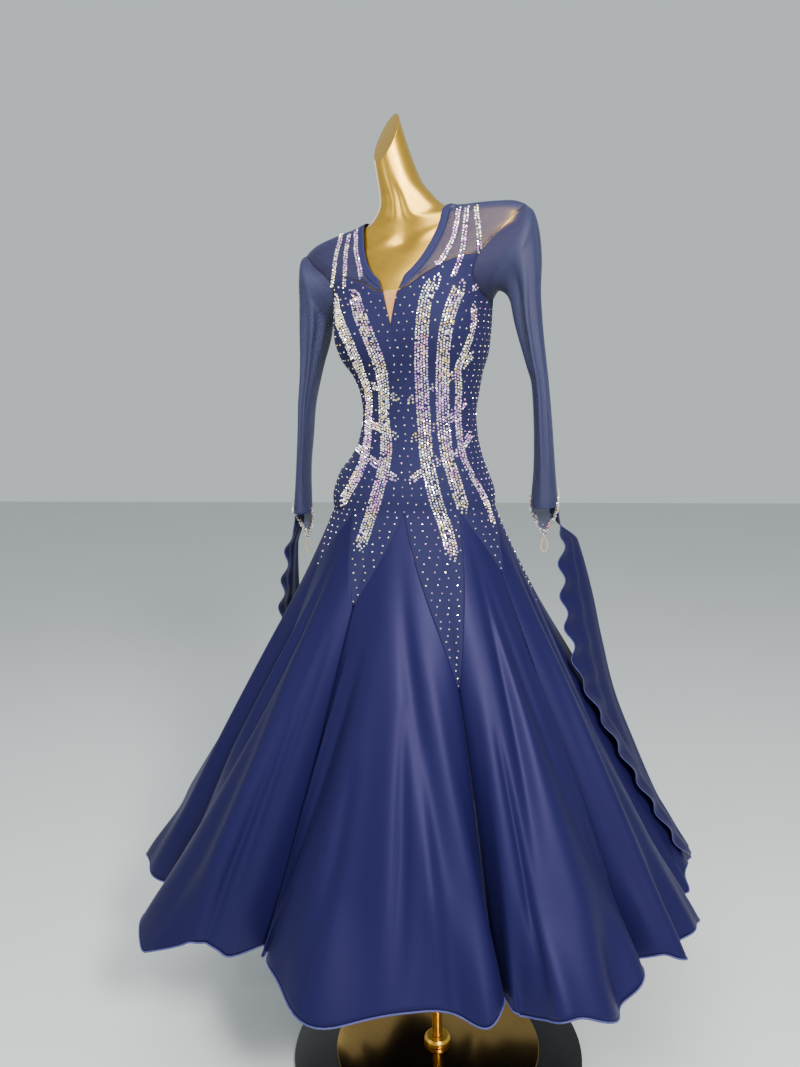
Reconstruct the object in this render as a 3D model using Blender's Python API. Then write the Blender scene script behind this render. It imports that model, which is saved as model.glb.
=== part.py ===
"""A ballroom dance dress on a limbless dress form, in metres, +Z up.

The front of the dress looks towards -Y, +X is the right of somebody who looks at it, and the
origin is the centre of the stand's underside. Angles round the body are measured from the front,
positive towards +X.
"""
import math
from collections import namedtuple
from functools import lru_cache

import bmesh
import bpy
from mathutils import Vector

# Walls and gaps
BODICE_WALL = 0.0015
MESH_WALL = 0.0012
SATIN_WALL = 0.0015
BAND_WALL = 0.0012
FORM_GAP = 0.0026
SEAM_GAP = 0.0005
LAP_GAP = 0.0004
BAND_LIFT = 0.0014
BODICE_OUT = FORM_GAP + BODICE_WALL
MESH_OUT = FORM_GAP + MESH_WALL

# Heights of the skirt
PEAK_HEIGHT = 1.120
HEM_HEIGHT = 0.360
HEM_SINK = 0.012
HEM_RIPPLE = 0.009

# Sections of the dress form from the hips to the cut of the neck. Shift moves a section sideways,
# turn is its angle about +Z in degrees, and tilt is its rise towards +X.
Section = namedtuple("Section", "height half_width front back shift turn tilt")
BODY_SECTIONS = (
    Section(1.030, 0.1120, 0.0840, 0.0940, -0.0290, 0.0, 0.00),
    Section(1.060, 0.1340, 0.0980, 0.1080, -0.0290, 0.0, 0.00),
    Section(1.100, 0.1440, 0.1060, 0.1170, -0.0290, 0.0, 0.00),
    Section(1.140, 0.1470, 0.1070, 0.1180, -0.0310, -2.0, 0.00),
    Section(1.180, 0.1360, 0.1000, 0.1090, -0.0310, -6.0, 0.00),
    Section(1.215, 0.1170, 0.0900, 0.0960, -0.0240, -8.0, 0.00),
    Section(1.250, 0.1060, 0.0830, 0.0860, -0.0200, -10.0, 0.00),
    Section(1.290, 0.1015, 0.0790, 0.0810, -0.0180, -11.0, 0.00),
    Section(1.325, 0.1060, 0.0820, 0.0830, -0.0170, -11.0, 0.00),
    Section(1.360, 0.1160, 0.0880, 0.0880, -0.0200, -11.0, 0.01),
    Section(1.395, 0.1330, 0.0970, 0.0940, -0.0260, -11.0, 0.02),
    Section(1.430, 0.1400, 0.1000, 0.0980, -0.0290, -11.0, 0.03),
    Section(1.480, 0.1430, 0.0990, 0.1010, -0.0280, -12.0, 0.06),
    Section(1.520, 0.1540, 0.0890, 0.0990, -0.0270, -13.0, 0.09),
    Section(1.555, 0.1840, 0.0710, 0.0880, -0.0260, -14.0, 0.11),
    Section(1.585, 0.2060, 0.0545, 0.0700, -0.0260, -14.0, 0.12),
    Section(1.603, 0.2070, 0.0460, 0.0560, -0.0260, -14.0, 0.12),
    Section(1.615, 0.1900, 0.0430, 0.0480, -0.0260, -14.0, 0.12),
    Section(1.621, 0.1580, 0.0420, 0.0450, -0.0260, -14.0, 0.12),
    Section(1.625, 0.1180, 0.0415, 0.0445, -0.0265, -14.0, 0.12),
    Section(1.630, 0.0880, 0.0410, 0.0442, -0.0280, -14.0, 0.12),
    Section(1.640, 0.0680, 0.0404, 0.0438, -0.0300, -14.0, 0.12),
    Section(1.660, 0.0500, 0.0396, 0.0434, -0.0340, -14.0, 0.12),
    Section(1.690, 0.0390, 0.0385, 0.0415, -0.0450, -14.0, 0.06),
    Section(1.725, 0.0345, 0.0355, 0.0375, -0.0550, -14.0, 0.00),
    Section(1.768, 0.0285, 0.0300, 0.0315, -0.0640, -14.0, 0.00),
    Section(1.850, 0.0160, 0.0190, 0.0200, -0.0760, -14.0, 0.00),
)
BUST_RISE = 0.018
BUST_ANGLE = 33.0
BUST_SPREAD = 21.0
BUST_HEIGHT = 1.432
BUST_REACH = 0.056
BUST_ROUND = 0.11

# Levels of the form's rings, and the slanted cut that closes its neck
HIP_LEVELS = (1.045, 1.06, 1.08, 1.10, 1.12)
TORSO_STEP = 0.0245
TORSO_STEPS = 16
SHOULDER_LEVELS = (1.530, 1.548, 1.563, 1.576, 1.588, 1.598, 1.606, 1.612, 1.617, 1.621, 1.6235, 1.626)
NECK_LEVELS = (1.629, 1.634, 1.642, 1.655, 1.672, 1.690, 1.710, 1.730, 1.750, 1.775, 1.800, 1.825)
NECK_CUT_MIDDLE = Vector((-0.064, 0.000, 1.778))
NECK_CUT_FACING = Vector((-0.620, -0.620, 0.480))

# Extra room between the form and the cloth, over the bust and over the shoulders
EasePoint = namedtuple("EasePoint", "height room")
EASE = (
    EasePoint(1.120, 0.0),
    EasePoint(1.360, 0.0),
    EasePoint(1.440, 0.0010),
    EasePoint(1.520, 0.0007),
    EasePoint(1.570, 0.0014),
    EasePoint(1.650, 0.0016),
)

# Cut lines of the bodice, by angle round the body and height on the form's sections
CutPoint = namedtuple("CutPoint", "angle height")
SWEETHEART = (
    CutPoint(0.0, 1.494),
    CutPoint(8.0, 1.498),
    CutPoint(22.0, 1.520),
    CutPoint(36.0, 1.537),
    CutPoint(45.0, 1.542),
    CutPoint(54.0, 1.540),
)
BACK_TOP = (
    CutPoint(126.0, 1.540),
    CutPoint(145.0, 1.526),
    CutPoint(160.0, 1.513),
    CutPoint(173.0, 1.508),
    CutPoint(180.0, 1.508),
)
NOTCH_HALF_ANGLE = 5.2
NOTCH_FOOT = 1.440
NOTCH_EDGE_ANGLE = 0.4
SIDE_SEAM = 80.0
ARMHOLE_ANGLE = 90.0
ARMHOLE_HALF_ANGLE = 36.0
ARMHOLE_HEIGHT = 1.540
ARMHOLE_HALF_HEIGHT = 0.066

# The neckline, as half the opening across at each height on the sections
NeckPoint = namedtuple("NeckPoint", "height half_opening")
NECK_FRONT = (
    NeckPoint(1.4985, 0.0145),
    NeckPoint(1.5290, 0.0500),
    NeckPoint(1.5600, 0.0700),
    NeckPoint(1.5900, 0.0810),
    NeckPoint(1.6130, 0.0850),
    NeckPoint(1.6300, 0.0880),
)
NECK_BACK = (
    NeckPoint(1.6020, 0.0000),
    NeckPoint(1.6040, 0.0300),
    NeckPoint(1.6110, 0.0580),
    NeckPoint(1.6200, 0.0780),
    NeckPoint(1.6300, 0.0880),
)
BAND_WIDTH = 0.0125
NECK_BAND_STEPS = 13
RIDGE_TURN = 0.6
RIDGE_LEAN = 0.4
YOKE_COLUMNS = 8
FRONT_YOKE_ROWS = 12
BACK_YOKE_ROWS = 13
YOKE_ROW_CROWDING = 0.6
YOKE_EDGE_BLEND = 8.0
BACK_YOKE_CORNER = 0.5
INSERT_GAP_ANGLE = 0.3
INSERT_FOOT_RISE = 0.004
INSERT_ROWS = 5
INSERT_COLUMNS = 4

# Nine godets, from the rear left round the front to the rear right. Reach is how far the flute's
# crown stands from the pole at the hem, and folds and fold_depth are its smaller waves.
Godet = namedtuple("Godet", "node reach rise folds fold_depth")
GODETS = (
    Godet("godet_rear_left", 0.500, 0.010, 2, 0.007),
    Godet("godet_back_left", 0.530, 0.015, 2, 0.008),
    Godet("godet_side_left", 0.588, 0.030, 2, 0.010),
    Godet("godet_front_left", 0.548, 0.034, 2, 0.012),
    Godet("godet_front", 0.435, 0.026, 3, 0.010),
    Godet("godet_front_right", 0.465, 0.014, 2, 0.009),
    Godet("godet_side_right", 0.485, 0.002, 2, 0.008),
    Godet("godet_back_right", 0.535, 0.010, 2, 0.008),
    Godet("godet_rear_right", 0.500, 0.012, 2, 0.007),
)
# The folds between the godets, one more than the godets because the first is also the last.
# Tip says how far down the skirt, as a share of its length, the tongue in that fold ends.
Valley = namedtuple("Valley", "hip_angle hem_angle hem_radius tip")
VALLEYS = (
    Valley(-180.0, -185.0, 0.360, 0.38),
    Valley(-140.0, -145.0, 0.370, 0.38),
    Valley(-100.0, -108.0, 0.420, 0.29),
    Valley(-60.0, -78.0, 0.430, 0.14),
    Valley(-20.0, -46.0, 0.330, 0.21),
    Valley(20.0, 25.0, 0.330, 0.38),
    Valley(60.0, 64.0, 0.375, 0.14),
    Valley(100.0, 95.0, 0.405, 0.29),
    Valley(140.0, 133.0, 0.380, 0.38),
    Valley(180.0, 175.0, 0.360, 0.38),
)
REACH_POWER = 1.08
FOLD_POWER = 1.75
CROWN_ROUNDNESS = 0.82
FOLD_NARROWING = 0.80
NARROWING_POWER = 0.7
TURN_POWER = 0.9
NEAR_FOLD = 0.02
TONGUE_END_SHARE = 0.008

# Sleeves that hang empty. Outer and inner are the two edges of the flattened tube, reach is the
# distance from the pole sideways, back is the middle of the tube along +Y, half_depth is half
# of its width fore and aft.
Ring = namedtuple("Ring", "outer_height inner_height outer_reach inner_reach back half_depth")
RIGHT_SLEEVE = (
    Ring(1.622, 1.496, 0.1900, 0.1290, -0.050, 0.0560),
    Ring(1.590, 1.489, 0.1990, 0.1430, -0.052, 0.0560),
    Ring(1.545, 1.472, 0.2030, 0.1510, -0.054, 0.0540),
    Ring(1.490, 1.440, 0.2020, 0.1580, -0.056, 0.0510),
    Ring(1.430, 1.405, 0.2060, 0.1670, -0.057, 0.0470),
    Ring(1.371, 1.366, 0.2125, 0.1780, -0.058, 0.0440),
    Ring(1.336, 1.336, 0.2165, 0.1860, -0.058, 0.0420),
    Ring(1.268, 1.268, 0.2225, 0.1900, -0.058, 0.0390),
    Ring(1.198, 1.198, 0.2275, 0.1900, -0.056, 0.0350),
    Ring(1.155, 1.155, 0.2310, 0.1870, -0.054, 0.0320),
    Ring(1.126, 1.126, 0.2330, 0.1850, -0.052, 0.0310),
)
LEFT_SLEEVE = (
    Ring(1.574, 1.452, 0.2400, 0.1810, 0.044, 0.0560),
    Ring(1.543, 1.448, 0.2450, 0.1880, 0.045, 0.0560),
    Ring(1.500, 1.435, 0.2460, 0.1910, 0.046, 0.0540),
    Ring(1.450, 1.415, 0.2480, 0.1970, 0.047, 0.0510),
    Ring(1.405, 1.390, 0.2490, 0.2060, 0.048, 0.0470),
    Ring(1.364, 1.360, 0.2510, 0.2150, 0.049, 0.0440),
    Ring(1.308, 1.308, 0.2560, 0.2280, 0.050, 0.0420),
    Ring(1.252, 1.252, 0.2600, 0.2340, 0.050, 0.0390),
    Ring(1.196, 1.196, 0.2650, 0.2400, 0.050, 0.0350),
    Ring(1.140, 1.140, 0.2710, 0.2410, 0.050, 0.0320),
    Ring(1.100, 1.100, 0.2760, 0.2400, 0.050, 0.0310),
)
SLEEVE_UPPER_STEPS = 4
CUFF_POINT_DROP = 0.060
CUFF_POINT_ANGLE = 270.0
CUFF_POINT_SPREAD = 90.0

# Elastic finger loops
ELASTIC_DIAMETER = 0.0016
LOOP_WIDTH = 0.016
LOOP_DROP = 0.028
LOOP_START = 0.2
LOOP_RISE = 0.0014
LOOP_POINTS = 13

# Floats, by the angle round the pole and the distance from it of each edge
FloatRow = namedtuple("FloatRow", "height inner_angle inner_radius outer_angle outer_radius")
RIGHT_FLOAT = (
    FloatRow(1.122, 80.0, 0.240, 86.0, 0.2400),
    FloatRow(1.090, 85.0, 0.243, 94.0, 0.2560),
    FloatRow(1.030, 92.0, 0.240, 104.0, 0.2850),
    FloatRow(0.930, 94.0, 0.246, 109.0, 0.3200),
    FloatRow(0.850, 95.0, 0.262, 111.0, 0.3420),
    FloatRow(0.730, 96.0, 0.292, 112.0, 0.3760),
    FloatRow(0.610, 97.0, 0.340, 112.0, 0.4250),
    FloatRow(0.520, 98.0, 0.378, 112.0, 0.4650),
    FloatRow(0.440, 99.0, 0.430, 111.0, 0.5050),
    FloatRow(0.400, 102.0, 0.470, 110.0, 0.5250),
)
LEFT_FLOAT = (
    FloatRow(1.096, -101.0, 0.2860, -107.0, 0.2860),
    FloatRow(1.060, -101.0, 0.2940, -110.0, 0.3020),
    FloatRow(1.000, -102.0, 0.3080, -114.0, 0.3240),
    FloatRow(0.920, -104.0, 0.3280, -118.0, 0.3460),
    FloatRow(0.850, -106.0, 0.3430, -121.0, 0.3660),
    FloatRow(0.730, -108.0, 0.3750, -124.0, 0.4000),
    FloatRow(0.610, -110.0, 0.4150, -126.0, 0.4450),
    FloatRow(0.520, -111.0, 0.4450, -127.0, 0.4800),
    FloatRow(0.440, -113.0, 0.4800, -127.0, 0.5150),
    FloatRow(0.400, -115.0, 0.5000, -126.0, 0.5300),
)
FLOAT_ROWS = 46
FLOAT_COLUMNS = 3
FLOAT_WAVES = 11.5
FLOAT_WAVE_DEPTH = 0.0045
FLOAT_WAVE_POWER = 1.6
FLOAT_CLEARANCE = 0.009
FLOAT_SEWN_FROM = 345.0
FLOAT_SEWN_TO = 290.0
FLOAT_SEWN_SHARE = 0.10

# Stand of the dress form
DISC_RADIUS = 0.290
DISC_HEIGHT = 0.012
PLATE_RADIUS = 0.205
PLATE_TOP = 0.0203
POLE_RADIUS = 0.0100
COLLAR_RADIUS = 0.0265
COLLAR_HEIGHT = 0.014
COLLAR_SHOULDER = 0.004
COLLAR_SIDE_SHARE = 0.7
STAND_EDGE = 0.0015
FACE_GAP = 0.0003

# Mesh density
FORM_SEGMENTS = 28
GODET_COLUMNS = 10
GODET_LEVELS = (0.022, 0.075, 0.14, 0.21, 0.29, 0.38, 0.52, 0.68, 0.84, 1.0)
FRONT_STEPS = (0.0, 0.13, 0.35, 0.65, 0.87, 1.0)
BACK_STEPS = (0.0, 0.15, 0.4, 0.6, 0.85, 1.0)
BODICE_ROWS = 16
FRONT_VALLEYS = (3, 4, 5, 6)
BACK_VALLEYS = (7, 8, 9, 1, 2)
LENGTH_SAMPLES = 60
OUTLINE_STEPS = 24
OUTLINE_REACH = 3.5
STAND_SEGMENTS = 36
COLLAR_SEGMENTS = 24
POLE_SEGMENTS = 20
SHARP_ANGLE = 35.0
SAME_POINT = 0.00005
MIN_EDGE = 0.0005


def tangent_slopes(xs, ys):
    """Slopes of a curve through the points that never overshoots them."""
    secants = [(ys[i + 1] - ys[i]) / (xs[i + 1] - xs[i]) for i in range(len(xs) - 1)]
    slopes = [secants[0]]
    for before, after in zip(secants, secants[1:]):
        same_way = before * after > 0.0
        slopes.append(2.0 * before * after / (before + after) if same_way else 0.0)
    slopes.append(secants[-1])
    return slopes


def smooth_table(rows, value):
    """Every column of a table, read smoothly at a value of its first column."""
    xs = [row[0] for row in rows]
    value = min(max(value, xs[0]), xs[-1])
    index = next(i for i in range(len(xs) - 1) if value <= xs[i + 1])
    span = xs[index + 1] - xs[index]
    t = (value - xs[index]) / span
    result = []
    for column in range(1, len(rows[0])):
        ys = [row[column] for row in rows]
        slopes = tangent_slopes(xs, ys)
        y0, y1 = ys[index], ys[index + 1]
        m0, m1 = slopes[index] * span, slopes[index + 1] * span
        cubic = (2 * y0 + m0 - 2 * y1 + m1) * t**3
        square = (-3 * y0 - 2 * m0 + 3 * y1 - m1) * t**2
        result.append(cubic + square + m0 * t + y0)
    return result


def polar(angle, radius, height):
    """A point at an angle from the front, seen from above."""
    return Vector((radius * math.sin(math.radians(angle)), -radius * math.cos(math.radians(angle)), height))


def lerp(a, b, t):
    return a + (b - a) * t


def ease(t):
    t = min(max(t, 0.0), 1.0)
    return t * t * (3.0 - 2.0 * t)


def skin_point(angle, height):
    """A point of the dress form's skin."""
    half_width, front, back, shift, turn, tilt = smooth_table(BODY_SECTIONS, height)
    sine, cosine = math.sin(math.radians(angle)), math.cos(math.radians(angle))
    depth = front if cosine > 0.0 else back
    off_cup = (abs((angle + 180.0) % 360.0 - 180.0) - BUST_ANGLE) / BUST_SPREAD
    off_level = (height - BUST_HEIGHT) / BUST_REACH
    swell = 1.0 + BUST_RISE / BUST_ROUND * math.exp(-off_cup**2 - off_level**2)
    x, y = half_width * sine * swell, -depth * cosine * swell
    turn = math.radians(turn)
    return Vector((
        shift + x * math.cos(turn) - y * math.sin(turn),
        x * math.sin(turn) + y * math.cos(turn),
        height + tilt * x,
    ))


def skin_slopes(angle, height):
    """How the skin's point moves with the angle and with the height."""
    step_angle, step_height = 0.5, 0.0005
    across = skin_point(angle + step_angle, height) - skin_point(angle - step_angle, height)
    upward = skin_point(angle, height + step_height) - skin_point(angle, height - step_height)
    return across / (2.0 * step_angle), upward / (2.0 * step_height)


def over_skin(angle, height, out):
    """A point of the cloth, which stands off the skin by a distance and the cloth's own ease."""
    across, upward = skin_slopes(angle, height)
    stand_off = out + smooth_table(EASE, height)[0]
    return skin_point(angle, height) + across.cross(upward).normalized() * stand_off


def slide(angle, height, along, distance, steps=4):
    """Angle and height that lie a distance away over the skin, in a direction."""
    for _ in range(steps):
        across, upward = skin_slopes(angle, height)
        normal = across.cross(upward).normalized()
        move = (along - normal * along.dot(normal)).normalized() * (distance / steps)
        aa, au, uu = across.dot(across), across.dot(upward), upward.dot(upward)
        ma, mu = move.dot(across), move.dot(upward)
        determinant = aa * uu - au * au
        angle += (ma * uu - mu * au) / determinant
        height += (mu * aa - ma * au) / determinant
    return angle, height


def armhole_point(turn, side, grow=0.0):
    """Angle and height of the armhole's edge; turn is 0 at the top and 90 at the front."""
    share = 1.0 + grow / ARMHOLE_HALF_HEIGHT
    angle = ARMHOLE_ANGLE - ARMHOLE_HALF_ANGLE * share * math.sin(math.radians(turn))
    height = ARMHOLE_HEIGHT + ARMHOLE_HALF_HEIGHT * share * math.cos(math.radians(turn))
    return side * angle, height


def armhole_foot(angle):
    """Height of the armhole's lower edge at an angle round the body."""
    share = (abs(angle) - ARMHOLE_ANGLE) / ARMHOLE_HALF_ANGLE
    share = min(max(share, -1.0), 1.0)
    return ARMHOLE_HEIGHT - ARMHOLE_HALF_HEIGHT * math.sqrt(1.0 - share * share)


def bodice_top(angle):
    """Height of the bodice's upper edge at an angle round the body."""
    angle = abs((angle + 180.0) % 360.0 - 180.0)
    if angle < NOTCH_HALF_ANGLE - 0.1:
        return lerp(NOTCH_FOOT, smooth_table(SWEETHEART, NOTCH_HALF_ANGLE)[0], angle / NOTCH_HALF_ANGLE)
    if angle <= SWEETHEART[-1].angle:
        return smooth_table(SWEETHEART, angle)[0]
    if angle < BACK_TOP[0].angle:
        return armhole_foot(angle)
    return smooth_table(BACK_TOP, angle)[0]


def hem_height(index, u):
    """Height of the hem across a godet, lower in the folds beside it."""
    rises = [godet.rise for godet in GODETS]
    before, after = rises[index - 1], rises[(index + 1) % len(rises)]
    left = (before + rises[index]) / 2.0
    right = (after + rises[index]) / 2.0
    crown = math.sin(math.pi * u)
    ripple = HEM_RIPPLE * crown * math.cos(2.0 * math.pi * GODETS[index].folds * (u - 0.5))
    return HEM_HEIGHT + lerp(lerp(left, right, u) - HEM_SINK, rises[index], crown) - ripple


@lru_cache(maxsize=None)
def hip_polar(hip_angle):
    """Angle and distance of a point of the hips, seen from the middle of the hips."""
    hip = over_skin(hip_angle, PEAK_HEIGHT, BODICE_OUT) - skirt_centre(0.0)
    seen = math.degrees(math.atan2(hip.x, -hip.y))
    return seen + 360.0 * round((hip_angle - seen) / 360.0), math.hypot(hip.x, hip.y)


def fold_angle(valley, share):
    """Where a fold lies round the pole, from the hips to the hem."""
    return lerp(hip_polar(valley.hip_angle)[0], valley.hem_angle, share**TURN_POWER)


def skirt_centre(share):
    """The skirt hangs round the hips at the top and round the pole at the hem."""
    return Vector((lerp(BODY_SECTIONS[2].shift, 0.0, share), 0.0, 0.0))


def skirt_point(index, u, share, out=0.0):
    """A point of the skirt: u runs across a godet from fold to fold, share from hips to hem."""
    index %= len(GODETS)
    godet = GODETS[index]
    left, right = VALLEYS[index], VALLEYS[index + 1]
    narrowing = FOLD_NARROWING * share**NARROWING_POWER
    across = u - narrowing / (2.0 * math.pi) * math.sin(2.0 * math.pi * u)
    angle = lerp(fold_angle(left, share), fold_angle(right, share), across)
    seen_angle, hip_radius = hip_polar(lerp(left.hip_angle, right.hip_angle, u))
    angle += (seen_angle - lerp(fold_angle(left, 0.0), fold_angle(right, 0.0), u)) * (1.0 - share) ** 2
    before = GODETS[index - 1].reach
    after = GODETS[(index + 1) % len(GODETS)].reach
    edge_reach = lerp((before + godet.reach) / 2.0, (after + godet.reach) / 2.0, u)
    crown = max(0.0, math.sin(math.pi * u)) ** CROWN_ROUNDNESS
    reach = lerp(edge_reach, godet.reach, crown)
    depth = edge_reach - lerp(left.hem_radius, right.hem_radius, u)
    radius = lerp(hip_radius, reach, share**REACH_POWER)
    radius -= depth * (1.0 - crown) * share**FOLD_POWER
    wave = math.cos(2.0 * math.pi * godet.folds * (u - 0.5)) * math.sin(math.pi * u)
    radius += godet.fold_depth * wave * share**2
    height = lerp(PEAK_HEIGHT, hem_height(index, u), share)
    point = polar(angle, radius + out, height)
    return point + skirt_centre(share)


@lru_cache(maxsize=None)
def skirt_outline(height):
    """The skirt's outline at a height, as angles round the pole and distances from it."""
    share = (PEAK_HEIGHT - height) / (PEAK_HEIGHT - HEM_HEIGHT)
    if share <= 0.0:
        return ()
    outline = []
    for index in range(len(GODETS)):
        for step in range(OUTLINE_STEPS + 1):
            point = skirt_point(index, step / OUTLINE_STEPS, min(share, 1.0))
            outline.append((math.degrees(math.atan2(point.x, -point.y)), math.hypot(point.x, point.y)))
    return tuple(outline)


def skirt_radius(angle, height):
    """Distance from the pole to the skirt at an angle and a height."""
    near = []
    for seen, radius in skirt_outline(height):
        if abs((seen - angle + 180.0) % 360.0 - 180.0) < OUTLINE_REACH:
            near.append(radius)
    return max(near, default=0.0)


def tongue_share(valley, share):
    """Half the width of a tongue as a share of a godet's width."""
    if share > valley.tip:
        return 0.0
    return lerp(0.5, TONGUE_END_SHARE, share / valley.tip)


def new_material(name, colour, roughness, metallic=0.0):
    material = bpy.data.materials.new(name)
    material.use_nodes = True
    shader = material.node_tree.nodes["Principled BSDF"]
    shader.inputs["Base Color"].default_value = (*colour, 1.0)
    shader.inputs["Roughness"].default_value = roughness
    shader.inputs["Metallic"].default_value = metallic
    material.diffuse_color = (*colour, 1.0)
    return material


def link_mesh(name, mesh, material):
    mesh.materials.append(material)
    piece = bpy.data.objects.new(name, mesh)
    bpy.context.scene.collection.objects.link(piece)
    return piece


def cloth_from_rows(name, blocks, wall, material, closed=False):
    """A sheet from blocks of rows of points, given a wall on its inner side.

    Rows run down and columns run towards +angle, so the faces look out. Blocks share the points
    that lie in one place.
    """
    mesh = bpy.data.meshes.new(name)
    shape = bmesh.new()
    for rows in blocks:
        grid = [[shape.verts.new(point) for point in row] for row in rows]
        for upper, lower in zip(grid, grid[1:]):
            count = len(upper) if closed else len(upper) - 1
            for i in range(count):
                j = (i + 1) % len(upper)
                shape.faces.new((upper[i], lower[i], lower[j], upper[j]))
    bmesh.ops.remove_doubles(shape, verts=shape.verts[:], dist=SAME_POINT)
    shape.to_mesh(mesh)
    shape.free()
    mesh.shade_smooth()
    piece = link_mesh(name, mesh, material)
    solidify = piece.modifiers.new("Wall", "SOLIDIFY")
    solidify.thickness = wall
    solidify.offset = -1.0
    return piece


def turned(name, rings, material, segments):
    """A closed solid of rings of radius and height, from the lowest to the highest."""
    mesh = bpy.data.meshes.new(name)
    shape = bmesh.new()
    loops = []
    for radius, height in rings:
        angles = [360.0 * i / segments for i in range(segments)]
        loops.append([shape.verts.new(polar(angle, radius, height)) for angle in angles])
    for lower, upper in zip(loops, loops[1:]):
        for i in range(segments):
            j = (i + 1) % segments
            shape.faces.new((lower[i], lower[j], upper[j], upper[i]))
    shape.faces.new(list(reversed(loops[0])))
    shape.faces.new(loops[-1])
    shape.to_mesh(mesh)
    shape.free()
    mesh.shade_smooth()
    mesh.set_sharp_from_angle(angle=math.radians(SHARP_ANGLE))
    return link_mesh(name, mesh, material)


def spread_ends(row, gap):
    """A row of points with its two ends moved in by half a seam gap, each round the body."""
    moved = [point.copy() for point in row]
    for end, inner in ((0, 1), (-1, -2)):
        towards = row[inner] - row[end]
        radial = Vector((row[end].x, row[end].y, 0.0)).normalized()
        sideways = Vector((-radial.y, radial.x, 0.0))
        sign = 1.0 if towards.dot(sideways) > 0.0 else -1.0
        moved[end] = row[end] + sideways * (sign * gap / 2.0)
    return moved


def make_form(gold):
    """The limbless form: hips, waist, bust, shoulders and a neck with a slanted cut."""
    heights = [BODY_SECTIONS[0].height, *HIP_LEVELS]
    heights += [HIP_LEVELS[-1] + TORSO_STEP * step for step in range(1, TORSO_STEPS + 1)]
    heights += [*SHOULDER_LEVELS, *NECK_LEVELS, BODY_SECTIONS[-1].height]
    mesh = bpy.data.meshes.new("form_body")
    shape = bmesh.new()
    angles = [360.0 * i / FORM_SEGMENTS for i in range(FORM_SEGMENTS)]
    loops = [[shape.verts.new(skin_point(angle, height)) for angle in angles] for height in heights]
    for lower, upper in zip(loops, loops[1:]):
        for i in range(FORM_SEGMENTS):
            j = (i + 1) % FORM_SEGMENTS
            shape.faces.new((lower[i], lower[j], upper[j], upper[i]))
    shape.faces.new(list(reversed(loops[0])))
    bmesh.ops.bisect_plane(
        shape, geom=shape.verts[:] + shape.edges[:] + shape.faces[:], dist=SAME_POINT,
        plane_co=NECK_CUT_MIDDLE, plane_no=NECK_CUT_FACING, clear_outer=True,
    )
    bmesh.ops.remove_doubles(shape, verts=shape.verts[:], dist=MIN_EDGE)
    bmesh.ops.holes_fill(shape, edges=[edge for edge in shape.edges if edge.is_boundary], sides=0)
    bmesh.ops.recalc_face_normals(shape, faces=shape.faces[:])
    shape.to_mesh(mesh)
    shape.free()
    mesh.shade_smooth()
    mesh.set_sharp_from_angle(angle=math.radians(SHARP_ANGLE))
    return link_mesh("form_body", mesh, gold)


def panel_angles(first_angle, spans, steps):
    """Angles of a bodice panel's columns, the same steps in each godet span."""
    span = 360.0 / len(GODETS)
    angles = [first_angle + span * (number + place) for number in range(spans) for place in steps[:-1]]
    return angles + [first_angle + span * spans]


def bodice_rows(angles):
    """Rows of a bodice panel from its upper edge down to the godets' peaks."""
    rows = []
    for step in range(BODICE_ROWS + 1):
        share = step / BODICE_ROWS
        row = []
        for angle in angles:
            height = lerp(bodice_top(angle) - SEAM_GAP, PEAK_HEIGHT, share)
            row.append(over_skin(angle, height, BODICE_OUT))
        rows.append(row)
    return rows


def godet_width(index, share):
    """Width of a whole godet over the cloth, as it is beside its left fold."""
    step = skirt_point(index, NEAR_FOLD, share) - skirt_point(index, 0.0, share)
    return step.length / NEAR_FOLD


def tongue_block(valley_index, steps):
    """Rows of a pointed tongue below the godets' peaks."""
    index = valley_index % len(GODETS)
    valley = VALLEYS[valley_index]
    rows = []
    for share in [0.0] + [level for level in GODET_LEVELS if level <= valley.tip]:
        half = tongue_share(valley, share) - SEAM_GAP / 2.0 / godet_width(index, share)
        row = []
        for place in steps:
            u = lerp(-half, half, place)
            row.append(skirt_point(index, u, share) if u >= 0.0 else skirt_point(index - 1, 1.0 + u, share))
        rows.append(row)
    return rows


def make_bodice(name, valley_indices, first_angle, steps, material):
    """One body panel with a tongue under each of its godet spans."""
    angles = panel_angles(first_angle, len(valley_indices), steps)
    rows = [spread_ends(row, SEAM_GAP) for row in bodice_rows(angles)]
    blocks = [rows]
    count = len(steps) - 1
    for number, valley_index in enumerate(valley_indices):
        block = tongue_block(valley_index, steps)
        block[0] = rows[-1][number * count:(number + 1) * count + 1]
        blocks.append(block)
    return cloth_from_rows(name, blocks, BODICE_WALL, material)


def make_godet(index, material):
    """One satin flute, a point at the hips and a wide wave at the hem."""
    godet = GODETS[index]
    rows = []
    for share in GODET_LEVELS:
        left = tongue_share(VALLEYS[index], share)
        right = 1.0 - tongue_share(VALLEYS[index + 1], share)
        places = [lerp(left, right, column / GODET_COLUMNS) for column in range(GODET_COLUMNS + 1)]
        row = [skirt_point(index, u, share) for u in places]
        rows.append(spread_ends(row, SEAM_GAP))
    return cloth_from_rows(godet.node, [rows], SATIN_WALL, material)


def neck_front_point(share, side):
    """Angle and height on the front neckline, from the foot of the V to the shoulder seam."""
    low, high = NECK_FRONT[0].height, NECK_FRONT[-1].height
    height = lerp(low, high, share)
    half_opening = smooth_table(NECK_FRONT, height)[0]
    half_width = smooth_table(BODY_SECTIONS, height)[0]
    return side * math.degrees(math.asin(min(1.0, half_opening / half_width))), height


def neck_back_point(share, side):
    """Angle and height on the back neckline, from the shoulder seam to the centre."""
    rows = [(row.half_opening, row.height) for row in NECK_BACK]
    half_opening = lerp(NECK_BACK[-1].half_opening, 0.0, share)
    height = smooth_table(rows, half_opening)[0]
    half_width = smooth_table(BODY_SECTIONS, height)[0]
    sine = min(1.0, half_opening / half_width)
    return side * (180.0 - math.degrees(math.asin(sine))), height


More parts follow.
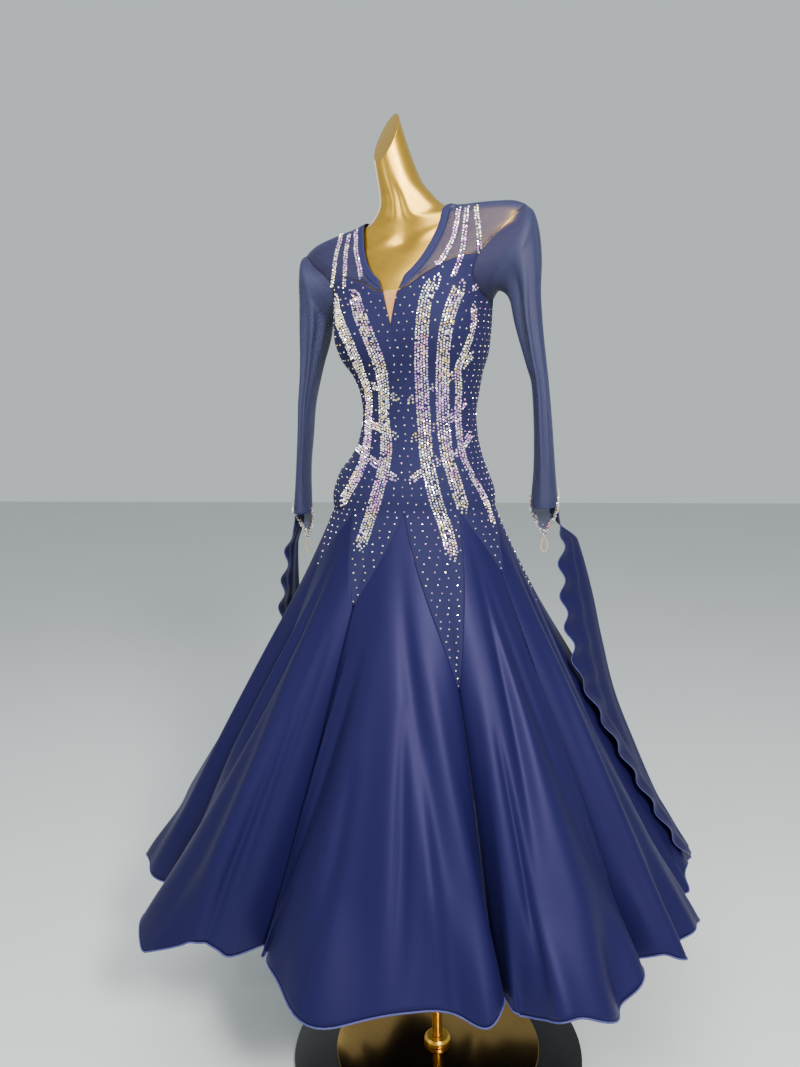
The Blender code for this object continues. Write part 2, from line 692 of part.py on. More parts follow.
def coons(bottom, top, left, right, u, v):
    """A point inside four curves of angle and height, each run by a share from 0 to 1."""
    result = []
    for axis in (0, 1):
        across = lerp(left(v)[axis], right(v)[axis], u)
        upward = lerp(bottom(u)[axis], top(u)[axis], v)
        low = lerp(bottom(0.0)[axis], bottom(1.0)[axis], u)
        high = lerp(top(0.0)[axis], top(1.0)[axis], u)
        result.append(across + upward - lerp(low, high, v))
    return result


def by_length(curve):
    """The same curve of angle and height, run in even steps over the cloth."""
    samples = LENGTH_SAMPLES
    shares = [i / samples for i in range(samples + 1)]
    points = [over_skin(*curve(share), MESH_OUT) for share in shares]
    lengths = [0.0]
    for first, second in zip(points, points[1:]):
        lengths.append(lengths[-1] + (second - first).length)

    def even(share):
        wanted = share * lengths[-1]
        index = next((i for i in range(samples) if wanted <= lengths[i + 1]), samples - 1)
        part = (wanted - lengths[index]) / (lengths[index + 1] - lengths[index])
        return curve(lerp(shares[index], shares[index + 1], min(max(part, 0.0), 1.0)))

    return even


def patch_rows(bottom, top, left, right, columns, steps):
    """Rows of points over the skin, from the upper edge down, closer near the upper edge."""
    curves = [bottom] + [by_length(curve) for curve in (top, left, right)]
    rows = []
    for step in range(steps + 1):
        even = step / steps
        v = lerp(1.0 - even, math.cos(math.pi / 2.0 * even), YOKE_ROW_CROWDING)
        row = []
        for column in range(columns + 1):
            angle, height = coons(*curves, column / columns, v)
            row.append(over_skin(angle, height, MESH_OUT))
        rows.append(row)
    return rows


def shoulder_seam(share, side, lean):
    """Angle and height on the ridge of the shoulder, from the armhole to the neck."""
    low, high = ARMHOLE_HEIGHT + ARMHOLE_HALF_HEIGHT + SEAM_GAP, NECK_FRONT[-1].height
    return side * (ARMHOLE_ANGLE + lean), lerp(low, high, 1.0 - (1.0 - share) ** 2)


def make_front_yoke(name, side, material):
    """Sheer mesh from the sweetheart seam up to the shoulder seam, beside the V."""
    edge = NOTCH_HALF_ANGLE + NOTCH_EDGE_ANGLE
    arm = SWEETHEART[-1].angle

    def bottom(share):
        angle = lerp(edge, arm, share)
        return side * angle, smooth_table(SWEETHEART, angle)[0] + SEAM_GAP

    def outer(share):
        return armhole_point(lerp(90.0, RIDGE_TURN, share), side, SEAM_GAP)

    def inner(share):
        angle, height = neck_front_point(share, side)
        return lerp(side * edge, angle, min(1.0, share * YOKE_EDGE_BLEND)), max(height, bottom(0.0)[1])

    def top(share):
        return shoulder_seam(1.0 - share, side, -RIDGE_LEAN)

    rows = patch_rows(by_length(bottom), top, inner, outer, YOKE_COLUMNS, FRONT_YOKE_ROWS)
    if side < 0.0:
        rows = [list(reversed(row)) for row in rows]
    return cloth_from_rows(name, [rows], MESH_WALL, material)


def make_back_yoke(material):
    """Sheer mesh behind, from one armhole to the other and up to the neck."""
    corner = BACK_YOKE_CORNER
    arm = BACK_TOP[0].angle
    panel = panel_angles(SIDE_SEAM, len(BACK_VALLEYS), BACK_STEPS)
    angles = [angle for angle in panel if arm <= angle <= 360.0 - arm]
    for first, second in ((0, 1), (2, 3), (-1, -2), (-3, -4)):
        angles.append((angles[first] + angles[second]) / 2.0)
        angles = sorted(angles)
    columns = len(angles) - 1

    def bottom(share):
        index = min(int(share * columns + SAME_POINT), columns - 1)
        angle = lerp(angles[index], angles[index + 1], share * columns - index)
        return angle, bodice_top(angle) + SEAM_GAP

    def right_side(share):
        if share < corner:
            return armhole_point(lerp(270.0, 360.0 - RIDGE_TURN, share / corner), 1.0, SEAM_GAP)
        return shoulder_seam((share - corner) / (1.0 - corner), 1.0, RIDGE_LEAN)

    def left_side(share):
        angle, height = right_side(share)
        return 360.0 - angle, height

    def top(share):
        if share < 0.5:
            return neck_back_point(share * 2.0, 1.0)
        angle, height = neck_back_point(2.0 - share * 2.0, 1.0)
        return 360.0 - angle, height

    rows = patch_rows(bottom, top, right_side, left_side, columns, BACK_YOKE_ROWS)
    return cloth_from_rows("yoke_back", [rows], MESH_WALL, material)


def make_neck_band(material):
    """The doubled band: up one side of the V, round behind the neck and down the other side."""
    front = by_length(lambda share: neck_front_point(share, 1.0))
    back = by_length(lambda share: neck_back_point(share, 1.0))
    half = [front(step / NECK_BAND_STEPS) for step in range(NECK_BAND_STEPS)]
    half += [back(step / NECK_BAND_STEPS) for step in range(NECK_BAND_STEPS)]
    path = [(360.0 - angle, height) for angle, height in half]
    path += [back(1.0)] + list(reversed(half))
    out = BODICE_OUT + LAP_GAP + BAND_LIFT + BAND_WALL
    edge = [over_skin(angle, height, out) for angle, height in path]
    rows = [[], [], []]
    for i, (angle, height) in enumerate(path):
        along = edge[min(i + 1, len(edge) - 1)] - edge[max(i - 1, 0)]
        across, upward = skin_slopes(angle, height)
        outward = along.cross(across.cross(upward))
        for row, share in zip(rows, (0.0, 0.5, 1.0)):
            place = slide(angle, height, outward, BAND_WIDTH * share) if share else (angle, height)
            row.append(over_skin(*place, out))
    return cloth_from_rows("neck_band", [rows], BAND_WALL, material)


def make_neck_insert(material):
    """The small triangle of nude mesh in the foot of the V."""
    top, foot = NECK_FRONT[0].height, NOTCH_FOOT + INSERT_FOOT_RISE
    shares = [column / INSERT_COLUMNS for column in range(INSERT_COLUMNS + 1)]
    rows = []
    for step in range(INSERT_ROWS + 1):
        height = lerp(top, foot, step / INSERT_ROWS)
        half = NOTCH_HALF_ANGLE * (height - NOTCH_FOOT) / (top - NOTCH_FOOT) - INSERT_GAP_ANGLE
        rows.append([over_skin(lerp(-half, half, share), height, MESH_OUT) for share in shares])
    return cloth_from_rows("neck_insert", [rows], MESH_WALL, material)


def sleeve_ring_point(ring, turn, side, out=0.0):
    """A point of a flattened sleeve; turn is 0 at the outer edge and 90 at the front."""
    cosine, sine = math.cos(math.radians(turn)), math.sin(math.radians(turn))
    reach = (ring.outer_reach + ring.inner_reach) / 2.0
    half_reach = (ring.outer_reach - ring.inner_reach) / 2.0 + out
    height = lerp(ring.inner_height, ring.outer_height, (cosine + 1.0) / 2.0)
    return Vector((side * (reach + half_reach * cosine), ring.back - (ring.half_depth + out) * sine, height))


def cuff_drop(turn):
    """How far the pointed cuff hangs below the front edge."""
    away = abs(turn - CUFF_POINT_ANGLE) / CUFF_POINT_SPREAD
    return CUFF_POINT_DROP * max(0.0, 1.0 - away)


def sleeve_turns():
    """Turns of a sleeve's points: even over the shoulder, and at the bodice's own points below."""
    step = 90.0 / SLEEVE_UPPER_STEPS
    turns = [step * i for i in range(SLEEVE_UPPER_STEPS)]
    angles = panel_angles(0.0, 2, FRONT_STEPS) + panel_angles(SIDE_SEAM, 2, BACK_STEPS)[1:]
    shares = [(ARMHOLE_ANGLE - angle) / ARMHOLE_HALF_ANGLE for angle in angles]
    turns += [180.0 - math.degrees(math.asin(share)) for share in shares if abs(share) <= 1.0]
    turns += [270.0 + step * i for i in range(1, SLEEVE_UPPER_STEPS)]
    return turns


def make_sleeve(name, rings, side, material):
    """A long tube from the armhole to a pointed cuff."""
    turns = sleeve_turns()
    if side > 0.0:
        turns = [turns[0]] + list(reversed(turns[1:]))
    rows = [[over_skin(*armhole_point(turn, side, -SEAM_GAP), MESH_OUT) for turn in turns]]
    rows += [[sleeve_ring_point(ring, turn, side) for turn in turns] for ring in rings]
    for point, turn in zip(rows[-1], turns):
        point.z -= cuff_drop(turn)
    return cloth_from_rows(name, [rows], MESH_WALL, material, closed=True)


def make_finger_loop(name, rings, side, material):
    """A loop of thin elastic that hangs from the point of the cuff."""
    tip = sleeve_ring_point(rings[-1], CUFF_POINT_ANGLE, side, -MESH_WALL / 2.0)
    tip.z += LOOP_RISE - CUFF_POINT_DROP - ELASTIC_DIAMETER / 2.0 - 2.0 * FACE_GAP
    curve = bpy.data.curves.new(name, "CURVE")
    curve.dimensions = "3D"
    curve.bevel_depth = ELASTIC_DIAMETER / 2.0
    curve.bevel_resolution = 2
    curve.use_fill_caps = True
    spline = curve.splines.new("POLY")
    spline.points.add(LOOP_POINTS - 1)
    for i, point in enumerate(spline.points):
        turn = math.pi * lerp(LOOP_START, 2.0 - LOOP_START, i / (LOOP_POINTS - 1))
        swing = math.sin(turn) * math.sin(turn / 2.0)
        fall = math.cos(math.pi * LOOP_START) - math.cos(turn)
        place = tip + Vector((-LOOP_WIDTH / 2.0 * swing, 0.0, -LOOP_DROP / 2.0 * fall))
        point.co = (*place, 1.0)
    curve.materials.append(material)
    piece = bpy.data.objects.new(name, curve)
    bpy.context.scene.collection.objects.link(piece)
    return piece


def make_float(name, table, rings, side, material):
    """A satin strip that hangs from the cuff and trails over the skirt, wavy on one edge."""
    falling = [(-row.height, *row[1:]) for row in table]
    top_height, end_height = table[0].height, table[-1].height
    rows = []
    for step in range(FLOAT_ROWS + 1):
        share = step / FLOAT_ROWS
        height = lerp(top_height, end_height, share)
        inner_angle, inner_radius, outer_angle, outer_radius = smooth_table(falling, -height)
        loose = ease(share / FLOAT_SEWN_SHARE)
        row = []
        for column in range(FLOAT_COLUMNS + 1):
            v = column / FLOAT_COLUMNS
            angle = lerp(inner_angle, outer_angle, v)
            wave = math.sin(2.0 * math.pi * FLOAT_WAVES * share) * (1.0 - v) ** FLOAT_WAVE_POWER * loose
            radius = lerp(inner_radius, outer_radius, v) + FLOAT_WAVE_DEPTH * wave
            clear = skirt_radius(angle, height) + FLOAT_CLEARANCE + FLOAT_WAVE_DEPTH * (1.0 + wave) / 2.0
            hanging = polar(angle, max(radius, clear), height)
            turn = lerp(FLOAT_SEWN_FROM, FLOAT_SEWN_TO, v)
            sewn = sleeve_ring_point(rings[-1], turn, side, LAP_GAP + SATIN_WALL)
            sewn.z = height
            row.append(sewn.lerp(hanging, loose))
        rows.append(row if side > 0.0 else list(reversed(row)))
    return cloth_from_rows(name, [rows], SATIN_WALL, material)


def make_stand(gold, plate_gold, black):
    """A black disc, a gold plate on it, and the pole in its collar."""
    turned("base_disc", (
        (DISC_RADIUS, 0.0),
        (DISC_RADIUS, DISC_HEIGHT - STAND_EDGE),
        (DISC_RADIUS - STAND_EDGE, DISC_HEIGHT),
    ), black, STAND_SEGMENTS)
    plate_foot = DISC_HEIGHT + FACE_GAP
    turned("base_plate", (
        (PLATE_RADIUS, plate_foot),
        (PLATE_RADIUS, PLATE_TOP - STAND_EDGE),
        (PLATE_RADIUS - STAND_EDGE, PLATE_TOP),
    ), plate_gold, STAND_SEGMENTS)
    pole_foot = PLATE_TOP + FACE_GAP
    pole_top = BODY_SECTIONS[0].height - FACE_GAP
    turned("form_pole", ((POLE_RADIUS, pole_foot), (POLE_RADIUS, pole_top)), gold, POLE_SEGMENTS)
    make_collar(gold, pole_foot)


def make_collar(gold, foot):
    """The ring that stands round the foot of the pole."""
    hole = POLE_RADIUS + FACE_GAP * 2.0
    profile = (
        (hole, foot),
        (COLLAR_RADIUS, foot),
        (COLLAR_RADIUS, foot + COLLAR_HEIGHT * COLLAR_SIDE_SHARE),
        (COLLAR_RADIUS - COLLAR_SHOULDER, foot + COLLAR_HEIGHT),
        (hole, foot + COLLAR_HEIGHT),
    )
    mesh = bpy.data.meshes.new("form_collar")
    shape = bmesh.new()
    loops = []
    for i in range(COLLAR_SEGMENTS):
        angle = 360.0 * i / COLLAR_SEGMENTS
        loops.append([shape.verts.new(polar(angle, *place)) for place in profile])
    for i in range(COLLAR_SEGMENTS):
        here, following = loops[i], loops[(i + 1) % COLLAR_SEGMENTS]
        for j in range(len(profile)):
            k = (j + 1) % len(profile)
            shape.faces.new((here[j], following[j], following[k], here[k]))
    shape.to_mesh(mesh)
    shape.free()
    mesh.shade_smooth()
    mesh.set_sharp_from_angle(angle=math.radians(SHARP_ANGLE))
    return link_mesh("form_collar", mesh, gold)


def clear_scene():
    for item in list(bpy.data.objects):
        bpy.data.objects.remove(item, do_unlink=True)


def main():
    clear_scene()
    gold = new_material("form_gold", (0.56, 0.33, 0.08), 0.22, 1.0)
    navy = new_material("bodice_navy", (0.022, 0.028, 0.13), 0.6)
    satin = new_material("satin_navy", (0.045, 0.05, 0.22), 0.35)
    mesh_cloth = new_material("mesh_navy", (0.03, 0.05, 0.19), 0.6)
    nude = new_material("insert_nude", (0.62, 0.42, 0.28), 0.7)
    beige = new_material("elastic_beige", (0.62, 0.47, 0.33), 0.7)
    plate_gold = new_material("plate_gold", (0.45, 0.30, 0.10), 0.12, 1.0)
    black = new_material("disc_black", (0.012, 0.012, 0.014), 0.3)
    make_form(gold)
    make_bodice("bodice_front", FRONT_VALLEYS, -SIDE_SEAM, FRONT_STEPS, navy)
    make_bodice("bodice_back", BACK_VALLEYS, SIDE_SEAM, BACK_STEPS, navy)
    for index in range(len(GODETS)):
        make_godet(index, satin)
    make_front_yoke("yoke_front_left", -1.0, mesh_cloth)
    make_front_yoke("yoke_front_right", 1.0, mesh_cloth)
    make_back_yoke(mesh_cloth)
    make_neck_band(mesh_cloth)
    make_neck_insert(nude)
    make_sleeve("sleeve_left", LEFT_SLEEVE, -1.0, mesh_cloth)
    make_sleeve("sleeve_right", RIGHT_SLEEVE, 1.0, mesh_cloth)
    make_finger_loop("finger_loop_left", LEFT_SLEEVE, -1.0, beige)
    make_finger_loop("finger_loop_right", RIGHT_SLEEVE, 1.0, beige)
    make_float("float_left", LEFT_FLOAT, LEFT_SLEEVE, -1.0, satin)
    make_float("float_right", RIGHT_FLOAT, RIGHT_SLEEVE, 1.0, satin)
    make_stand(gold, plate_gold, black)


main()
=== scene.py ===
# %% [markdown]
# # A ballroom dance dress on its dress form
#
# The dress has a fitted crepe bodice set with crystals, sheer mesh yokes and sleeves, nine satin
# godets and two satin floats. It stands on a limbless gold form with a pole and a round base. The
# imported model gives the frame: its solids say where every piece is, and this lesson gives each of
# them the surface that the real cloth, metal and crystal have.

import math
import random
from collections import namedtuple
from functools import lru_cache

import bmesh
import bpy
from mathutils import Matrix, Vector
from mathutils.bvhtree import BVHTree


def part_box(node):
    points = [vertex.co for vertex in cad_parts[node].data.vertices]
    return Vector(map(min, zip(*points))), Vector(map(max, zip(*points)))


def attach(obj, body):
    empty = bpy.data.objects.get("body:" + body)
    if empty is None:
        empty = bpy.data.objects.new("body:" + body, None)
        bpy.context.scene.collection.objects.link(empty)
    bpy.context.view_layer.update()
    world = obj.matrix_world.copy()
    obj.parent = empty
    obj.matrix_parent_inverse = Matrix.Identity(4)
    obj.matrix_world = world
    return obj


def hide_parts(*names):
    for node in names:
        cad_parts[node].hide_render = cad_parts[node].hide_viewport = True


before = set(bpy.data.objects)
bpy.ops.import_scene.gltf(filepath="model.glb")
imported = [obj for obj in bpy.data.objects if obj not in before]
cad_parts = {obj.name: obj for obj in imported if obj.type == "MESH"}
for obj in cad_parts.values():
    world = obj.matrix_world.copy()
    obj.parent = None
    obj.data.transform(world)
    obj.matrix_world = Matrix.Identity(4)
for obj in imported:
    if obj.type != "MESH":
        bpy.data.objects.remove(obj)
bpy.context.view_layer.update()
chance = random.Random(7)
print("the frame has", len(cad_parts), "nodes")

# %% [markdown]
# The camera stands where the photographer stood: a little to the right of the front and a little
# above the waist, tipped down by nine degrees. Its lens is worked out from the picture's long side.
# The ray of a pixel is kept too, because the crystal bands are placed where they are seen.

# %% Camera
PICTURE = (800, 1067)
FOCAL_PIXELS = 900.0
SENSOR = 36.0
STANDING_ANGLE = math.radians(8.0)
STANDING_DISTANCE = 1.654
LENS_HEIGHT = 1.331
TURNED_LEFT = math.radians(1.9704)
TIPPED_DOWN = math.radians(9.0)
ROLLED = math.radians(1.09)


def camera_axes():
    """The camera's right, up and forward directions."""
    heading = STANDING_ANGLE + TURNED_LEFT
    level = Vector((-math.sin(heading), math.cos(heading), 0.0))
    right = Vector((level.y, -level.x, 0.0))
    forward = level * math.cos(TIPPED_DOWN) - Vector((0.0, 0.0, math.sin(TIPPED_DOWN)))
    up = right.cross(forward)
    rolled_right = right * math.cos(ROLLED) - up * math.sin(ROLLED)
    rolled_up = right * math.sin(ROLLED) + up * math.cos(ROLLED)
    return rolled_right, rolled_up, forward


eye_right, eye_up, eye_forward = camera_axes()
eye = Vector((
    STANDING_DISTANCE * math.sin(STANDING_ANGLE),
    -STANDING_DISTANCE * math.cos(STANDING_ANGLE),
    LENS_HEIGHT,
))


def pixel_ray(x, y):
    """The direction in which a pixel of the picture is seen."""
    across = eye_right * (x - PICTURE[0] / 2.0) / FOCAL_PIXELS
    upward = eye_up * (y - PICTURE[1] / 2.0) / FOCAL_PIXELS
    return (eye_forward + across - upward).normalized()


camera_data = bpy.data.cameras.new("photo_camera")
camera_data.sensor_fit = "AUTO"
camera_data.sensor_width = SENSOR
camera_data.lens = SENSOR * FOCAL_PIXELS / PICTURE[1]
camera = bpy.data.objects.new("photo_camera", camera_data)
bpy.context.scene.collection.objects.link(camera)
camera.matrix_world = Matrix((
    (eye_right.x, eye_up.x, -eye_forward.x, eye.x),
    (eye_right.y, eye_up.y, -eye_forward.y, eye.y),
    (eye_right.z, eye_up.z, -eye_forward.z, eye.z),
    (0.0, 0.0, 0.0, 1.0),
))
bpy.context.scene.camera = camera
print("lens:", round(camera_data.lens, 1), "mm")

# %% [markdown]
# Every curve of the dress is read from a short table with a smooth interpolation that never
# overshoots. Angles run round the body from the front, positive towards +X, in degrees.

# %% Small helpers
def lerp(a, b, t):
    """The number or point that lies a share t of the way from a to b."""
    return a + (b - a) * t


def ease(t):
    """A share from 0 to 1 that starts and ends gently."""
    t = min(max(t, 0.0), 1.0)
    return t * t * (3.0 - 2.0 * t)


def polar(angle, radius, height):
    """A point at an angle from the front, seen from above."""
    return Vector((radius * math.sin(math.radians(angle)), -radius * math.cos(math.radians(angle)), height))


def tangent_slopes(xs, ys):
    """Slopes of a curve through the points that never overshoots them."""
    secants = [(ys[i + 1] - ys[i]) / (xs[i + 1] - xs[i]) for i in range(len(xs) - 1)]
    slopes = [secants[0]]
    for before, after in zip(secants, secants[1:]):
        slopes.append(2.0 * before * after / (before + after) if before * after > 0.0 else 0.0)
    slopes.append(secants[-1])
    return slopes


@lru_cache(maxsize=None)
def column_slopes(rows):
    """The slopes of every column of a table, worked out once."""
    xs = [row[0] for row in rows]
    return [tangent_slopes(xs, [row[column] for row in rows]) for column in range(1, len(rows[0]))]


@lru_cache(maxsize=200000)
def smooth_table(rows, value):
    """Every column of a table, read smoothly at a value of its first column."""
    value = min(max(value, rows[0][0]), rows[-1][0])
    index = next(i for i in range(len(rows) - 1) if value <= rows[i + 1][0])
    span = rows[index + 1][0] - rows[index][0]
    t = (value - rows[index][0]) / span
    result = []
    for column, slopes in enumerate(column_slopes(rows), 1):
        y0, y1 = rows[index][column], rows[index + 1][column]
        m0, m1 = slopes[index] * span, slopes[index + 1] * span
        cubic = (2 * y0 + m0 - 2 * y1 + m1) * t**3
        square = (-3 * y0 - 2 * m0 + 3 * y1 - m1) * t**2
        result.append(cubic + square + m0 * t + y0)
    return tuple(result)


def along_spline(points, t):
    """A point of a smooth curve through a list of points, t from 0 to 1."""
    place = min(max(t, 0.0), 1.0) * (len(points) - 1)
    index = min(int(place), len(points) - 2)
    t = place - index
    a, b = points[max(index - 1, 0)], points[index]
    c, d = points[index + 1], points[min(index + 2, len(points) - 1)]
    square = (2.0 * a - 5.0 * b + 4.0 * c - d) * t**2
    cubic = (3.0 * b - a - 3.0 * c + d) * t**3
    return 0.5 * (2.0 * b + (c - a) * t + square + cubic)


# %% [markdown]
# The form's skin is the ground that the bodice lies on, so its sections are repeated here from the
# source of the solids. A body is easy to describe as a stack of ovals: half a width, the depth in
# front and behind, a sideways shift, a turn and a tilt.

# %% Sections of the form
Section = namedtuple("Section", "height half_width front back shift turn tilt")
BODY_SECTIONS = (
    Section(1.030, 0.1120, 0.0840, 0.0940, -0.0290, 0.0, 0.00),
    Section(1.060, 0.1340, 0.0980, 0.1080, -0.0290, 0.0, 0.00),
    Section(1.100, 0.1440, 0.1060, 0.1170, -0.0290, 0.0, 0.00),
    Section(1.140, 0.1470, 0.1070, 0.1180, -0.0310, -2.0, 0.00),
    Section(1.180, 0.1360, 0.1000, 0.1090, -0.0310, -6.0, 0.00),
    Section(1.215, 0.1170, 0.0900, 0.0960, -0.0240, -8.0, 0.00),
    Section(1.250, 0.1060, 0.0830, 0.0860, -0.0200, -10.0, 0.00),
    Section(1.290, 0.1015, 0.0790, 0.0810, -0.0180, -11.0, 0.00),
    Section(1.325, 0.1060, 0.0820, 0.0830, -0.0170, -11.0, 0.00),
    Section(1.360, 0.1160, 0.0880, 0.0880, -0.0200, -11.0, 0.01),
    Section(1.395, 0.1330, 0.0970, 0.0940, -0.0260, -11.0, 0.02),
    Section(1.430, 0.1400, 0.1000, 0.0980, -0.0290, -11.0, 0.03),
    Section(1.480, 0.1430, 0.0990, 0.1010, -0.0280, -12.0, 0.06),
    Section(1.520, 0.1540, 0.0890, 0.0990, -0.0270, -13.0, 0.09),
    Section(1.555, 0.1840, 0.0710, 0.0880, -0.0260, -14.0, 0.11),
    Section(1.585, 0.2060, 0.0545, 0.0700, -0.0260, -14.0, 0.12),
    Section(1.603, 0.2070, 0.0460, 0.0560, -0.0260, -14.0, 0.12),
    Section(1.615, 0.1900, 0.0430, 0.0480, -0.0260, -14.0, 0.12),
    Section(1.621, 0.1580, 0.0420, 0.0450, -0.0260, -14.0, 0.12),
    Section(1.625, 0.1180, 0.0415, 0.0445, -0.0265, -14.0, 0.12),
    Section(1.630, 0.0880, 0.0410, 0.0442, -0.0280, -14.0, 0.12),
    Section(1.640, 0.0680, 0.0404, 0.0438, -0.0300, -14.0, 0.12),
    Section(1.660, 0.0500, 0.0396, 0.0434, -0.0340, -14.0, 0.12),
    Section(1.690, 0.0390, 0.0385, 0.0415, -0.0450, -14.0, 0.06),
    Section(1.725, 0.0345, 0.0355, 0.0375, -0.0550, -14.0, 0.00),
    Section(1.768, 0.0285, 0.0300, 0.0315, -0.0640, -14.0, 0.00),
    Section(1.850, 0.0160, 0.0190, 0.0200, -0.0760, -14.0, 0.00),
)
BUST_RISE = 0.018
BUST_ANGLE = 33.0
BUST_SPREAD = 21.0
BUST_HEIGHT = 1.432
BUST_REACH = 0.056
BUST_ROUND = 0.11
STEP_ANGLE = 0.5
STEP_HEIGHT = 0.0005


def skin_point(angle, height):
    """A point of the form's skin."""
    half_width, front, back, shift, turn, tilt = smooth_table(BODY_SECTIONS, height)
    sine, cosine = math.sin(math.radians(angle)), math.cos(math.radians(angle))
    depth = front if cosine > 0.0 else back
    off_cup = (abs((angle + 180.0) % 360.0 - 180.0) - BUST_ANGLE) / BUST_SPREAD
    off_level = (height - BUST_HEIGHT) / BUST_REACH
    swell = 1.0 + BUST_RISE / BUST_ROUND * math.exp(-off_cup**2 - off_level**2)
    x, y = half_width * sine * swell, -depth * cosine * swell
    turn = math.radians(turn)
    return Vector((
        shift + x * math.cos(turn) - y * math.sin(turn),
        x * math.sin(turn) + y * math.cos(turn),
        height + tilt * x,
    ))


def skin_slopes(angle, height):
    """How the skin's point moves with the angle and with the height."""
    across = skin_point(angle + STEP_ANGLE, height) - skin_point(angle - STEP_ANGLE, height)
    upward = skin_point(angle, height + STEP_HEIGHT) - skin_point(angle, height - STEP_HEIGHT)
    return across / (2.0 * STEP_ANGLE), upward / (2.0 * STEP_HEIGHT)


EASE = ((1.120, 0.0), (1.360, 0.0), (1.440, 0.0010), (1.520, 0.0007), (1.570, 0.0014), (1.650, 0.0016))


def over_skin(angle, height, out):
    """A point of the cloth, which stands off the skin by a distance and its own ease."""
    across, upward = skin_slopes(angle, height)
    stand_off = out + smooth_table(EASE, height)[0]
    return skin_point(angle, height) + across.cross(upward).normalized() * stand_off


print("sections:", len(BODY_SECTIONS), "from", BODY_SECTIONS[0].height, "to", BODY_SECTIONS[-1].height, "m")

# %% [markdown]
# The skirt is a ring of nine flutes. A point of it has three numbers: the godet, the share across
# from fold to fold, and the share down from the hips to the hem. The deep folds between the flutes
# are drawn in more and more towards the hem, which is what a godet does on the real dress.

# %% Surface of the skirt
PEAK_HEIGHT = 1.120
HEM_HEIGHT = 0.360
HEM_SINK = 0.012
HEM_RIPPLE = 0.009
FORM_GAP = 0.0026
BODICE_WALL = 0.0015
MESH_WALL = 0.0012
BODICE_OUT = FORM_GAP + BODICE_WALL
MESH_OUT = FORM_GAP + MESH_WALL
SEAM_GAP = 0.0002
Godet = namedtuple("Godet", "node reach rise folds fold_depth")
GODETS = (
    Godet("godet_rear_left", 0.500, 0.010, 2, 0.007),
    Godet("godet_back_left", 0.530, 0.015, 2, 0.008),
    Godet("godet_side_left", 0.588, 0.030, 2, 0.010),
    Godet("godet_front_left", 0.548, 0.034, 2, 0.012),
    Godet("godet_front", 0.435, 0.026, 3, 0.010),
    Godet("godet_front_right", 0.465, 0.014, 2, 0.009),
    Godet("godet_side_right", 0.485, 0.002, 2, 0.008),
    Godet("godet_back_right", 0.535, 0.010, 2, 0.008),
    Godet("godet_rear_right", 0.500, 0.012, 2, 0.007),
)
Valley = namedtuple("Valley", "hip_angle hem_angle hem_radius tip")
VALLEYS = (
    Valley(-180.0, -185.0, 0.360, 0.38),
    Valley(-140.0, -145.0, 0.370, 0.38),
    Valley(-100.0, -108.0, 0.420, 0.29),
    Valley(-60.0, -78.0, 0.430, 0.14),
    Valley(-20.0, -46.0, 0.330, 0.21),
    Valley(20.0, 25.0, 0.330, 0.38),
    Valley(60.0, 64.0, 0.375, 0.14),
    Valley(100.0, 95.0, 0.405, 0.29),
    Valley(140.0, 133.0, 0.380, 0.38),
    Valley(180.0, 175.0, 0.360, 0.38),
)
REACH_POWER = 1.08
FOLD_POWER = 1.75
CROWN_ROUNDNESS = 0.82
FOLD_NARROWING = 0.80
NARROWING_POWER = 0.7
NEAR_FOLD = 0.02
TURN_POWER = 0.9
TONGUE_END_SHARE = 0.008


def skirt_centre(share):
    """The skirt hangs round the hips at the top and round the pole at the hem."""
    return Vector((lerp(BODY_SECTIONS[2].shift, 0.0, share), 0.0, 0.0))


@lru_cache(maxsize=None)
def hip_polar(hip_angle):
    """Angle and distance of a point of the hips, seen from the middle of the hips."""
    hip = over_skin(hip_angle, PEAK_HEIGHT, BODICE_OUT) - skirt_centre(0.0)
    seen = math.degrees(math.atan2(hip.x, -hip.y))
    return seen + 360.0 * round((hip_angle - seen) / 360.0), math.hypot(hip.x, hip.y)


def fold_angle(valley, share):
    """Angle of a fold between two flutes, which turns on its way down."""
    return lerp(hip_polar(valley.hip_angle)[0], valley.hem_angle, share**TURN_POWER)


def hem_height(index, u):
    """Height of the hem across a godet, lower in the folds beside it."""
    rises = [godet.rise for godet in GODETS]
    before, after = rises[index - 1], rises[(index + 1) % len(rises)]
    left = (before + rises[index]) / 2.0
    right = (after + rises[index]) / 2.0
    crown = math.sin(math.pi * u)
    ripple = HEM_RIPPLE * crown * math.cos(2.0 * math.pi * GODETS[index].folds * (u - 0.5))
    return HEM_HEIGHT + lerp(lerp(left, right, u) - HEM_SINK, rises[index], crown) - ripple


